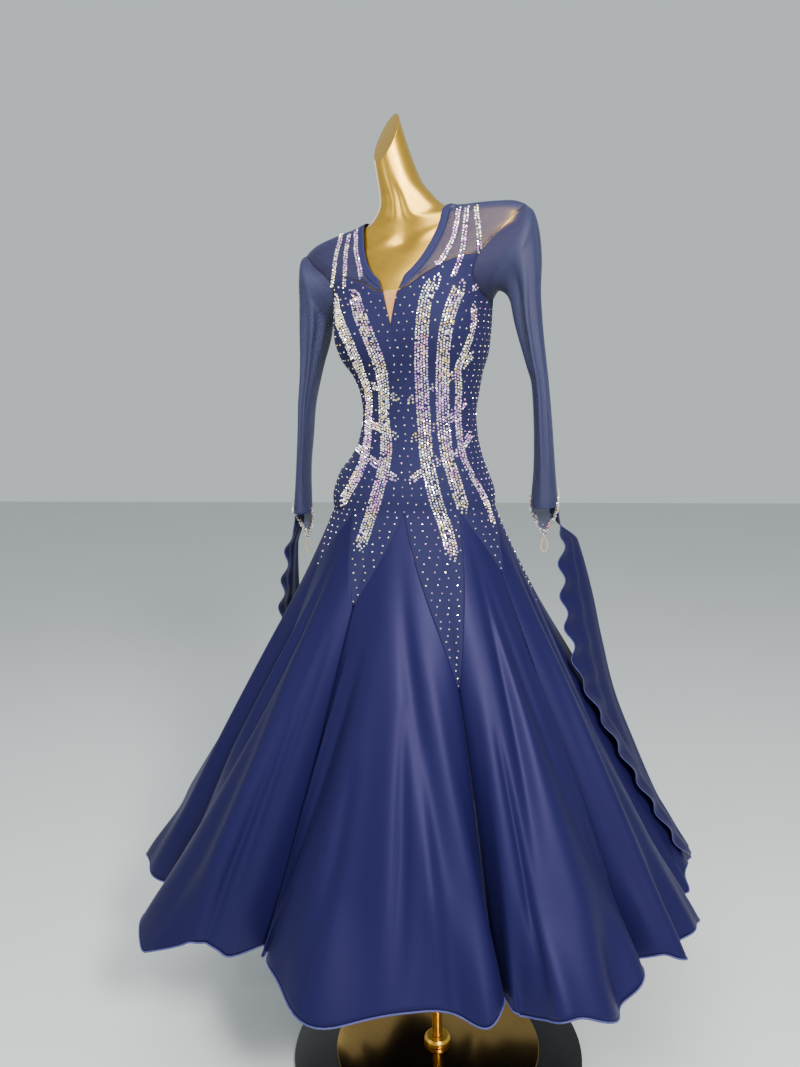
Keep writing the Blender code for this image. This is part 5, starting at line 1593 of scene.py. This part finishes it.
# %% [markdown]
# The crystals are small flat-backed stones, glued on one by one. Their surface is coated, so each
# has its own tint. The finish reads that tint from an attribute of the mesh, which every stone gets
# when it is made.

# %% Crystal finish
def crystal_finish():
    """Coated crystal: every stone has its own tint, from white over pink and lilac to straw, and a faint
    painted glow in that tint.
    """
    material = bpy.data.materials.new("crystal_coated")
    material.use_nodes = True
    tree = material.node_tree
    shader = tree.nodes["Principled BSDF"]
    own = tree.nodes.new("ShaderNodeAttribute")
    own.attribute_name = "stone_tint"
    ramp = tree.nodes.new("ShaderNodeValToRGB")
    stops = (
        (0.00, (0.55, 0.42, 1.00)), (0.20, (1.00, 0.45, 0.82)), (0.40, (0.97, 0.93, 1.00)),
        (0.62, (1.00, 0.98, 0.90)), (0.80, (1.00, 0.78, 0.26)), (1.00, (0.60, 0.90, 1.00)),
    )
    ramp.color_ramp.elements[0].color = (*stops[0][1], 1.0)
    ramp.color_ramp.elements[-1].color = (*stops[-1][1], 1.0)
    for place, colour in stops[1:-1]:
        ramp.color_ramp.elements.new(place).color = (*colour, 1.0)
    tree.links.new(own.outputs["Fac"], ramp.inputs["Fac"])
    tree.links.new(ramp.outputs["Color"], shader.inputs["Base Color"])
    # The tint also feeds a faint emission: a painted glow, as the stones give no light of their own.
    tree.links.new(ramp.outputs["Color"], shader.inputs["Emission Color"])
    shader.inputs["Emission Strength"].default_value = 0.05
    shader.inputs["Metallic"].default_value = 0.80
    rough = math_node(tree, "MULTIPLY", own.outputs["Fac"], 0.18)
    tree.links.new(math_node(tree, "ADD", rough, 0.05), shader.inputs["Roughness"])
    shader.inputs["Coat Weight"].default_value = 0.6
    shader.inputs["Coat Roughness"].default_value = 0.03
    return material


crystal = crystal_finish()
print("crystal finish:", crystal.name)

# %% [markdown]
# A stone needs a seat: the nearest point of the cloth and the direction in which the cloth faces
# there. One tree of all the cloth's faces answers both questions, and it also finds the point of
# the cloth that a pixel of the photograph shows.

# %% Seats for the stones
def cloth_tree(pieces):
    """One search tree over the outer faces of several pieces."""
    corners, faces = [], []
    for piece in pieces:
        start = len(corners)
        corners += [vert.co.copy() for vert in piece.data.vertices]
        faces += [[start + index for index in face.vertices] for face in piece.data.polygons]
    return BVHTree.FromPolygons(corners, faces)


stoned_cloth = cloth_tree([front_panel, back_panel, yoke_left, yoke_right, yoke_back])
seats = []
SEAT_REACH = 0.012
CUBE_SIDE = 0.02


def seen_on_cloth(x, y):
    """The point of the cloth under a pixel of the photograph, or None beside it."""
    return stoned_cloth.ray_cast(eye, pixel_ray(x, y))[0]


class StoneGrid:
    """Finds stones near a point quickly, by sorting their places into small cubes."""

    def __init__(self):
        self.cubes = {}

    def key(self, point):
        """The cube that a point lies in."""
        return tuple(int(math.floor(value / CUBE_SIDE)) for value in point)

    def add(self, point):
        """Keeps the place of a stone."""
        self.cubes.setdefault(self.key(point), []).append(point)

    def near(self, point, reach):
        """Whether a stone sits within a reach of the point."""
        a, b, c = self.key(point)
        for i in (a - 1, a, a + 1):
            for j in (b - 1, b, b + 1):
                for k in (c - 1, c, c + 1):
                    if any((point - other).length < reach for other in self.cubes.get((i, j, k), ())):
                        return True
        return False


set_stones = StoneGrid()


def set_stone(point, radius, spacing):
    """Seats a stone if none sits closer than the spacing. Returns True if it was set."""
    place, normal, _, far = stoned_cloth.find_nearest(point)
    if place is None or far > SEAT_REACH or set_stones.near(place, spacing):
        return False
    set_stones.add(place)
    seats.append((place, normal, radius))
    return True


print("pixel (400, 400) shows the cloth at", [round(value, 3) for value in seen_on_cloth(400, 400)])

# %% [markdown]
# The thick bands run from the bust over the waist to the hips, in pairs that mirror each other, and
# thin ones come down from the shoulders. Each is given by the pixels that its middle passes, and by
# how many stones lie side by side in it. These bands are plain ornament of the craft: rows of
# stones that follow the shape of the body.

# %% Bands of stones
Band = namedtuple("Band", "across pixels")
BANDS = (
    Band(2, ((342, 233), (336, 256), (333, 279), (331, 292))),
    Band(2, ((349, 235), (346, 252), (345, 269), (344, 288))),
    Band(2, ((356, 231), (356, 250), (359, 265), (361, 278))),
    Band(2, ((459, 208), (454, 235), (445, 254), (437, 266))),
    Band(2, ((467, 207), (464, 237), (461, 256), (453, 276))),
    Band(2, ((476, 206), (479, 237), (479, 265), (474, 292))),
    Band(5, (
        (353, 290), (359, 313), (369, 338), (378, 361), (383, 385), (384, 420),
        (386, 445), (384, 467), (375, 501), (365, 532), (358, 551),
    )),
    Band(5, (
        (336, 294), (338, 317), (348, 342), (359, 368), (368, 393),
        (368, 420), (367, 441), (362, 465), (352, 484), (341, 504),
    )),
    Band(3, ((363, 423), (356, 443), (345, 460), (336, 473), (330, 493), (323, 514), (319, 540))),
    Band(5, (
        (440, 275), (428, 292), (423, 317), (421, 353), (422, 389), (424, 423),
        (426, 454), (430, 475), (436, 501), (447, 532), (453, 560),
    )),
    Band(5, (
        (464, 281), (455, 298), (447, 324), (443, 359), (443, 415),
        (447, 454), (453, 475), (462, 504), (465, 514),
    )),
    Band(3, (
        (474, 305), (473, 328), (466, 349), (458, 370), (459, 389),
        (458, 415), (462, 451), (471, 473), (484, 497), (494, 524),
    )),
    Band(3, ((408, 402), (424, 392), (443, 382), (458, 371), (473, 354))),
    Band(3, ((411, 440), (424, 432), (440, 425), (455, 415), (466, 400))),
    Band(3, ((409, 482), (428, 468), (447, 458), (460, 450), (472, 432))),
    Band(3, ((398, 400), (384, 390), (370, 385))),
    Band(3, ((397, 438), (384, 430), (370, 424))),
    Band(3, ((397, 480), (386, 472), (375, 463), (365, 455), (357, 447))),
)
BAND_STONE = 0.00225
BAND_PITCH = 0.0050
BAND_SPACING = 0.0041
BAND_WOBBLE = 0.0006
BAND_SIZES = (0.78, 0.92, 1.0, 1.05, 1.15)
PATH_SAMPLES = 60


def unsteady(reach):
    """Three small numbers, as a hand that glues stones is never quite steady."""
    return Vector([chance.uniform(-reach, reach) for _ in range(3)])


def band_line(pixels):
    """The band's middle as points of the cloth, smooth and evenly spaced."""
    spots = [Vector((x, y, 0.0)) for x, y in pixels]
    seen = []
    for step in range(PATH_SAMPLES + 1):
        pixel = along_spline(spots, step / PATH_SAMPLES)
        hit = seen_on_cloth(pixel.x, pixel.y)
        if hit:
            seen.append(hit)
    return even_line(seen, BAND_PITCH)


def even_line(points, pitch):
    """The same line with a point at every pitch."""
    line, rest = [points[0]], 0.0
    for first, second in zip(points, points[1:]):
        length = (second - first).length
        while rest + length >= pitch and length > 0.0:
            first = first.lerp(second, (pitch - rest) / length)
            length = (second - first).length
            line.append(first.copy())
            rest = 0.0
        rest += length
    return line


def lay_band(line, across):
    """Lays rows of stones beside each other along a line, closer at its two ends."""
    count = 0
    for i, point in enumerate(line):
        along = (line[min(i + 1, len(line) - 1)] - line[max(i - 1, 0)]).normalized()
        normal = stoned_cloth.find_nearest(point)[1]
        sideways = along.cross(normal).normalized()
        from_end = min(i, len(line) - 1 - i)
        here = min(across, 2 + from_end)
        for j in range(here):
            offset = (j - (here - 1) / 2.0) * BAND_PITCH
            stagger = 0.5 * BAND_PITCH * ((j + across) % 2)
            wobble = sideways * chance.uniform(-BAND_WOBBLE, BAND_WOBBLE)
            wobble += along * chance.uniform(-BAND_WOBBLE, BAND_WOBBLE)
            radius = BAND_STONE * chance.choice(BAND_SIZES)
            count += set_stone(point + sideways * offset + along * stagger + wobble, radius, BAND_SPACING)
    return count


band_lines = [band_line(band.pixels) for band in BANDS]
laid = sum(lay_band(line, band.across) for line, band in zip(band_lines, BANDS))
print("stones in the bands in front:", laid)

# %% [markdown]
# The back isn't seen. A dress of this kind carries the same bands there, so each band is turned
# round to the back: its points keep their height and are looked for again from behind, on the same
# side of the body and a little closer to its middle.

# %% Bands behind
BEHIND = 1.0
BODY_MIDDLE = -0.022
CLOSER = 0.94
SHORTEST_BAND = 4


def behind(point):
    """The point of the back that lies straight behind a point of the front."""
    start = Vector((point.x, BEHIND, point.z))
    return stoned_cloth.ray_cast(start, Vector((0.0, -1.0, 0.0)))[0]


laid = 0
for band, line in zip(BANDS, band_lines):
    turned = [behind(Vector((BODY_MIDDLE + CLOSER * (p.x - BODY_MIDDLE), p.y, p.z))) for p in line]
    turned = [p for p in turned if p is not None and p.y > 0.0]
    if len(turned) >= SHORTEST_BAND:
        laid += lay_band(even_line(turned, BAND_PITCH), band.across)
print("stones in the bands behind:", laid)

# %% [markdown]
# Smaller stones are scattered over the rest of the bodice and down the tongues. In front they lie
# in a loose honeycomb, and at the sides they stand in plain rows.

# %% Scattered stones
SCATTER_STONE = 0.0015
SCATTER_PITCH = 0.0155
SIDE_PITCH = 0.0112
SIDE_SPREAD = 1.35
SIDE_STONE = 0.0012
SIDE_FROM = 58.0
SIDE_TO = 118.0
ROW_SHARE = 0.86
TONGUE_PITCH = 0.0115
BODICE_HIGHEST = 1.545
SCATTER_CLEAR = 0.0062
SCATTER_WOBBLE = 0.0016
SIDE_WOBBLE = 0.0004
TONGUE_WOBBLE = 0.0015
LOWEST_ROW = 0.004
TOP_MARGIN = 0.006


def on_side(angle):
    """Whether an angle lies in the plain rows at the sides."""
    return SIDE_FROM < abs((angle + 180.0) % 360.0 - 180.0) < SIDE_TO


def scatter_over_bodice(pitch, spread, sides, wobble, radius):
    """Rows of stones round the body, spread apart, either only at the sides or everywhere else."""
    count = 0
    row, height = 0, PEAK_HEIGHT + LOWEST_ROW
    while height < BODICE_HIGHEST:
        row += 1
        angle = -180.0
        while angle < 180.0:
            step = spread * pitch / skin_slopes(angle, height)[0].length
            spot_angle = angle + (0.0 if sides else 0.5 * step * (row % 2))
            if on_side(spot_angle) == sides and height < bodice_top(spot_angle) - TOP_MARGIN:
                point = over_skin(spot_angle, height, BODICE_OUT) + unsteady(wobble)
                count += set_stone(point, radius, SCATTER_CLEAR)
            angle += step
        height += pitch * ROW_SHARE
    return count


def tongue_point(index, across, share):
    """A point of a tongue, which lies on both sides of the fold between two godets."""
    if across >= 0.0:
        return skirt_point(index, across, share)
    return skirt_point(index - 1, 1.0 + across, share)


def scatter_over_tongues():
    """Rows of stones down the tongues, fewer as they narrow."""
    count = 0
    for valley_index in range(1, len(VALLEYS)):
        valley = VALLEYS[valley_index]
        index = valley_index % len(GODETS)
        length = valley.tip * (PEAK_HEIGHT - HEM_HEIGHT)
        rows = int(length / TONGUE_PITCH)
        for row in range(rows):
            share = valley.tip * (row + 0.5) / rows
            half = tongue_share(valley, share)
            width = 2.0 * half * godet_width(index, share)
            stones = max(1, int(width / SCATTER_PITCH))
            for stone in range(stones):
                place = (stone + 0.5 + 0.25 * (row % 2) - 0.125) / stones
                point = tongue_point(index, lerp(-half, half, place), share) + unsteady(TONGUE_WOBBLE)
                count += set_stone(point, SCATTER_STONE, SCATTER_CLEAR)
    return count


scattered = scatter_over_bodice(SCATTER_PITCH, 1.0, False, SCATTER_WOBBLE, SCATTER_STONE)
scattered += scatter_over_bodice(SIDE_PITCH, SIDE_SPREAD, True, SIDE_WOBBLE, SIDE_STONE)
on_tongues = scatter_over_tongues()
print("scattered stones:", scattered, "and on the tongues:", on_tongues)

# %% [markdown]
# The pointed cuffs are edged with rows of stones of mixed sizes, the upper ones with more and more
# stones left out, and a few short rows climb the outer side of the sleeve.

# %% Stones of the cuffs
CuffRow = namedtuple("CuffRow", "rise left_out inside")
CUFF_ROWS = (
    CuffRow(0.0020, 0.06, True), CuffRow(0.0062, 0.14, True),
    CuffRow(0.0105, 0.45, True), CuffRow(0.0150, 0.75, False),
)
CUFF_SLANT = 1.25
OUTER_LEFT_OUT = 0.35
CUFF_PITCH = 0.0046
CUFF_STONE = 0.0018
CUFF_WOBBLE = 0.0007
CUFF_SIZES = (0.75, 0.9, 1.0, 1.2)
CUFF_GLUE = 0.0004
CUFF_ROUNDNESS = 12.0
SEAM_ROWS = 7
SEAM_TURNS = (-16.0, 0.0, 14.0, 27.0)
SEAM_START = 0.003
SEAM_PITCH = 0.0045
SEAM_GLUE = 0.0008
SEAM_SIZES = (0.8, 1.0, 1.15)


def edge_cuff(rings, side):
    """Rows along both edges of the cuff's point, outside and inside, and up the outer seam."""
    ring = rings[-1]
    line = []
    for turn_angle in range(180, 361, 2):
        point = sleeve_ring_point(ring, turn_angle, side)
        point.z -= cuff_drop(turn_angle)
        line.append(point)
    middle = (ring.outer_reach + ring.inner_reach) / 2.0
    for row in CUFF_ROWS:
        lifted = [point + Vector((0.0, 0.0, row.rise * CUFF_SLANT)) for point in line]
        for point in even_line(lifted, CUFF_PITCH):
            outer = side * point.x > middle
            if chance.random() < row.left_out * (OUTER_LEFT_OUT if outer else 1.0):
                continue
            normal = Vector((side * (abs(point.x) - middle) * CUFF_ROUNDNESS, 1.0, 0.0)).normalized()
            point = point + unsteady(CUFF_WOBBLE)
            radius = CUFF_STONE * chance.choice(CUFF_SIZES)
            seats.append((point + normal * CUFF_GLUE, normal, radius))
            if row.inside:
                seats.append((point - normal * (SHEET_WALL + CUFF_GLUE), -normal, radius))
    for row in range(SEAM_ROWS):
        for turn_angle in SEAM_TURNS[:len(SEAM_TURNS) - row // 2]:
            point = sleeve_ring_point(ring, turn_angle, side)
            point.z += SEAM_START + SEAM_PITCH * row
            turned = math.radians(turn_angle)
            normal = Vector((side * math.cos(turned), -math.sin(turned), 0.0))
            seats.append((point + normal * SEAM_GLUE, normal, CUFF_STONE * chance.choice(SEAM_SIZES)))


set_before = len(seats)
edge_cuff(RIGHT_SLEEVE, 1.0)
edge_cuff(LEFT_SLEEVE, -1.0)
print("stones on the cuffs:", len(seats) - set_before)

# %% [markdown]
# A stone is a low cone with its tip cut off, which gives it a table and a ring of facets. Each one
# is made straight in its place and tipped a little, because that makes a field of stones glitter.
# The tints also drift slowly over the dress: painted light, as they change where the light falls from the
# side.

# %% Build the stones
STONE_FACETS = 8
STONE_TABLE = 0.55
STONE_RISE = 0.42
TIP = math.radians(13.0)
TINT_DRIFT = 0.30
DRIFT_UP = 21.0
DRIFT_ACROSS = 34.0
DRIFT_START = 1.3
SEAT_SINK = 0.8
PER_PIECE = 1600
HANDFUL = 40


def stone_tint(place):
    """A number from 0 to 1 that picks a stone's tint: chance, and a slow drift over the dress that is
    painted light.
    """
    # The drift is painted light: the tint shifts with height and across the dress, where the light falls
    # from the side.
    drift = 0.5 + 0.5 * math.sin(DRIFT_UP * place.z + DRIFT_ACROSS * place.x + DRIFT_START)
    return lerp(chance.random(), drift, TINT_DRIFT)


def add_stone(shape, tint_layer, place, normal, radius):
    """Makes one stone in its place, tipped and turned by chance."""
    tipped = normal + unsteady(TIP)
    turned = tipped.to_track_quat("Z", "Y").to_matrix().to_4x4()
    spun = Matrix.Rotation(chance.uniform(0.0, math.pi), 4, "Z")
    seat = Matrix.Translation(place + normal * (STONE_RISE * SEAT_SINK * radius))
    made = bmesh.ops.create_cone(
        shape, cap_ends=True, cap_tris=False, segments=STONE_FACETS, radius1=radius,
        radius2=radius * STONE_TABLE, depth=radius * STONE_RISE * 2.0, matrix=seat @ turned @ spun,
    )
    tint = stone_tint(place)
    for vert in made["verts"]:
        vert[tint_layer] = tint


def build_stones(name, places):
    """Makes the stones of a list of places, a handful at a time, and gathers them in one mesh."""
    gathered = bmesh.new()
    gathered.verts.layers.float.new("stone_tint")
    for start in range(0, len(places), HANDFUL):
        handful = bmesh.new()
        tint_layer = handful.verts.layers.float.new("stone_tint")
        for place, normal, radius in places[start:start + HANDFUL]:
            add_stone(handful, tint_layer, place, normal, radius)
        part = bpy.data.meshes.new("handful")
        handful.to_mesh(part)
        handful.free()
        gathered.from_mesh(part)
        bpy.data.meshes.remove(part)
    mesh = bpy.data.meshes.new(name)
    gathered.to_mesh(mesh)
    gathered.free()
    mesh.materials.append(crystal)
    piece = bpy.data.objects.new(name, mesh)
    bpy.context.scene.collection.objects.link(piece)
    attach(piece, "root")


batches = range(0, len(seats), PER_PIECE)
for number, start in enumerate(batches, 1):
    build_stones(f"crystals_{number}", seats[start:start + PER_PIECE])
print("stones in all:", len(seats), "in", len(batches), "pieces")

# %% [markdown]
# The studio is plain: a pale floor, a strong light in front on the right, weak ones on the left and
# behind, a large soft one from above, and two small bright lamps beside the camera that the stones
# throw back. The world gives an even pale light, as pale walls do.

# %% Floor and lights
FLOOR_REACH = 9.0
FLOOR_FINISH = Finish((0.62, 0.64, 0.65), 0.75, 0.0, 40.0, 1.0, 0.05, 0.8, 0.04, 1.0)


def make_floor():
    """A wide pale floor, which is staging and not part of the dress."""
    shape = bmesh.new()
    bmesh.ops.create_grid(shape, x_segments=1, y_segments=1, size=FLOOR_REACH)
    mesh = bpy.data.meshes.new("studio_floor")
    shape.to_mesh(mesh)
    shape.free()
    mesh.materials.append(new_finish("floor_pale", FLOOR_FINISH))
    floor = bpy.data.objects.new("studio_floor", mesh)
    bpy.context.scene.collection.objects.link(floor)


def add_light(name, place, size, power, colour):
    """A round area light that faces the middle of the dress."""
    data = bpy.data.lights.new(name, "AREA")
    data.shape = "DISK"
    data.size = size
    data.energy = power
    data.color = colour
    light = bpy.data.objects.new(name, data)
    light.location = place
    light.rotation_euler = (MIDDLE - Vector(place)).to_track_quat("-Z", "Y").to_euler()
    bpy.context.scene.collection.objects.link(light)


make_floor()
MIDDLE = Vector((0.0, 0.0, 1.1))
add_light("key_right", (1.4, -2.6, 2.7), 0.6, 190.0, (1.0, 0.98, 0.95))
add_light("fill_left", (-2.9, -1.6, 1.9), 1.2, 9.0, (0.93, 0.97, 1.0))
add_light("overhead", (0.1, -1.5, 3.1), 2.2, 100.0, (1.0, 0.99, 0.96))
add_light("behind", (-1.6, 2.6, 2.4), 1.4, 9.0, (0.95, 0.98, 1.0))
add_light("lamp_right", (0.9, -2.0, 2.0), 0.10, 10.0, (1.0, 0.97, 0.90))
add_light("lamp_left", (-0.5, -2.1, 1.9), 0.10, 8.0, (1.0, 1.0, 1.0))
world = bpy.data.worlds.new("studio")
world.use_nodes = True
backdrop = world.node_tree.nodes["Background"]
backdrop.inputs["Color"].default_value = (0.78, 0.86, 0.87, 1.0)
backdrop.inputs["Strength"].default_value = 0.72
bpy.context.scene.world = world
print("lights:", len(bpy.data.lights))
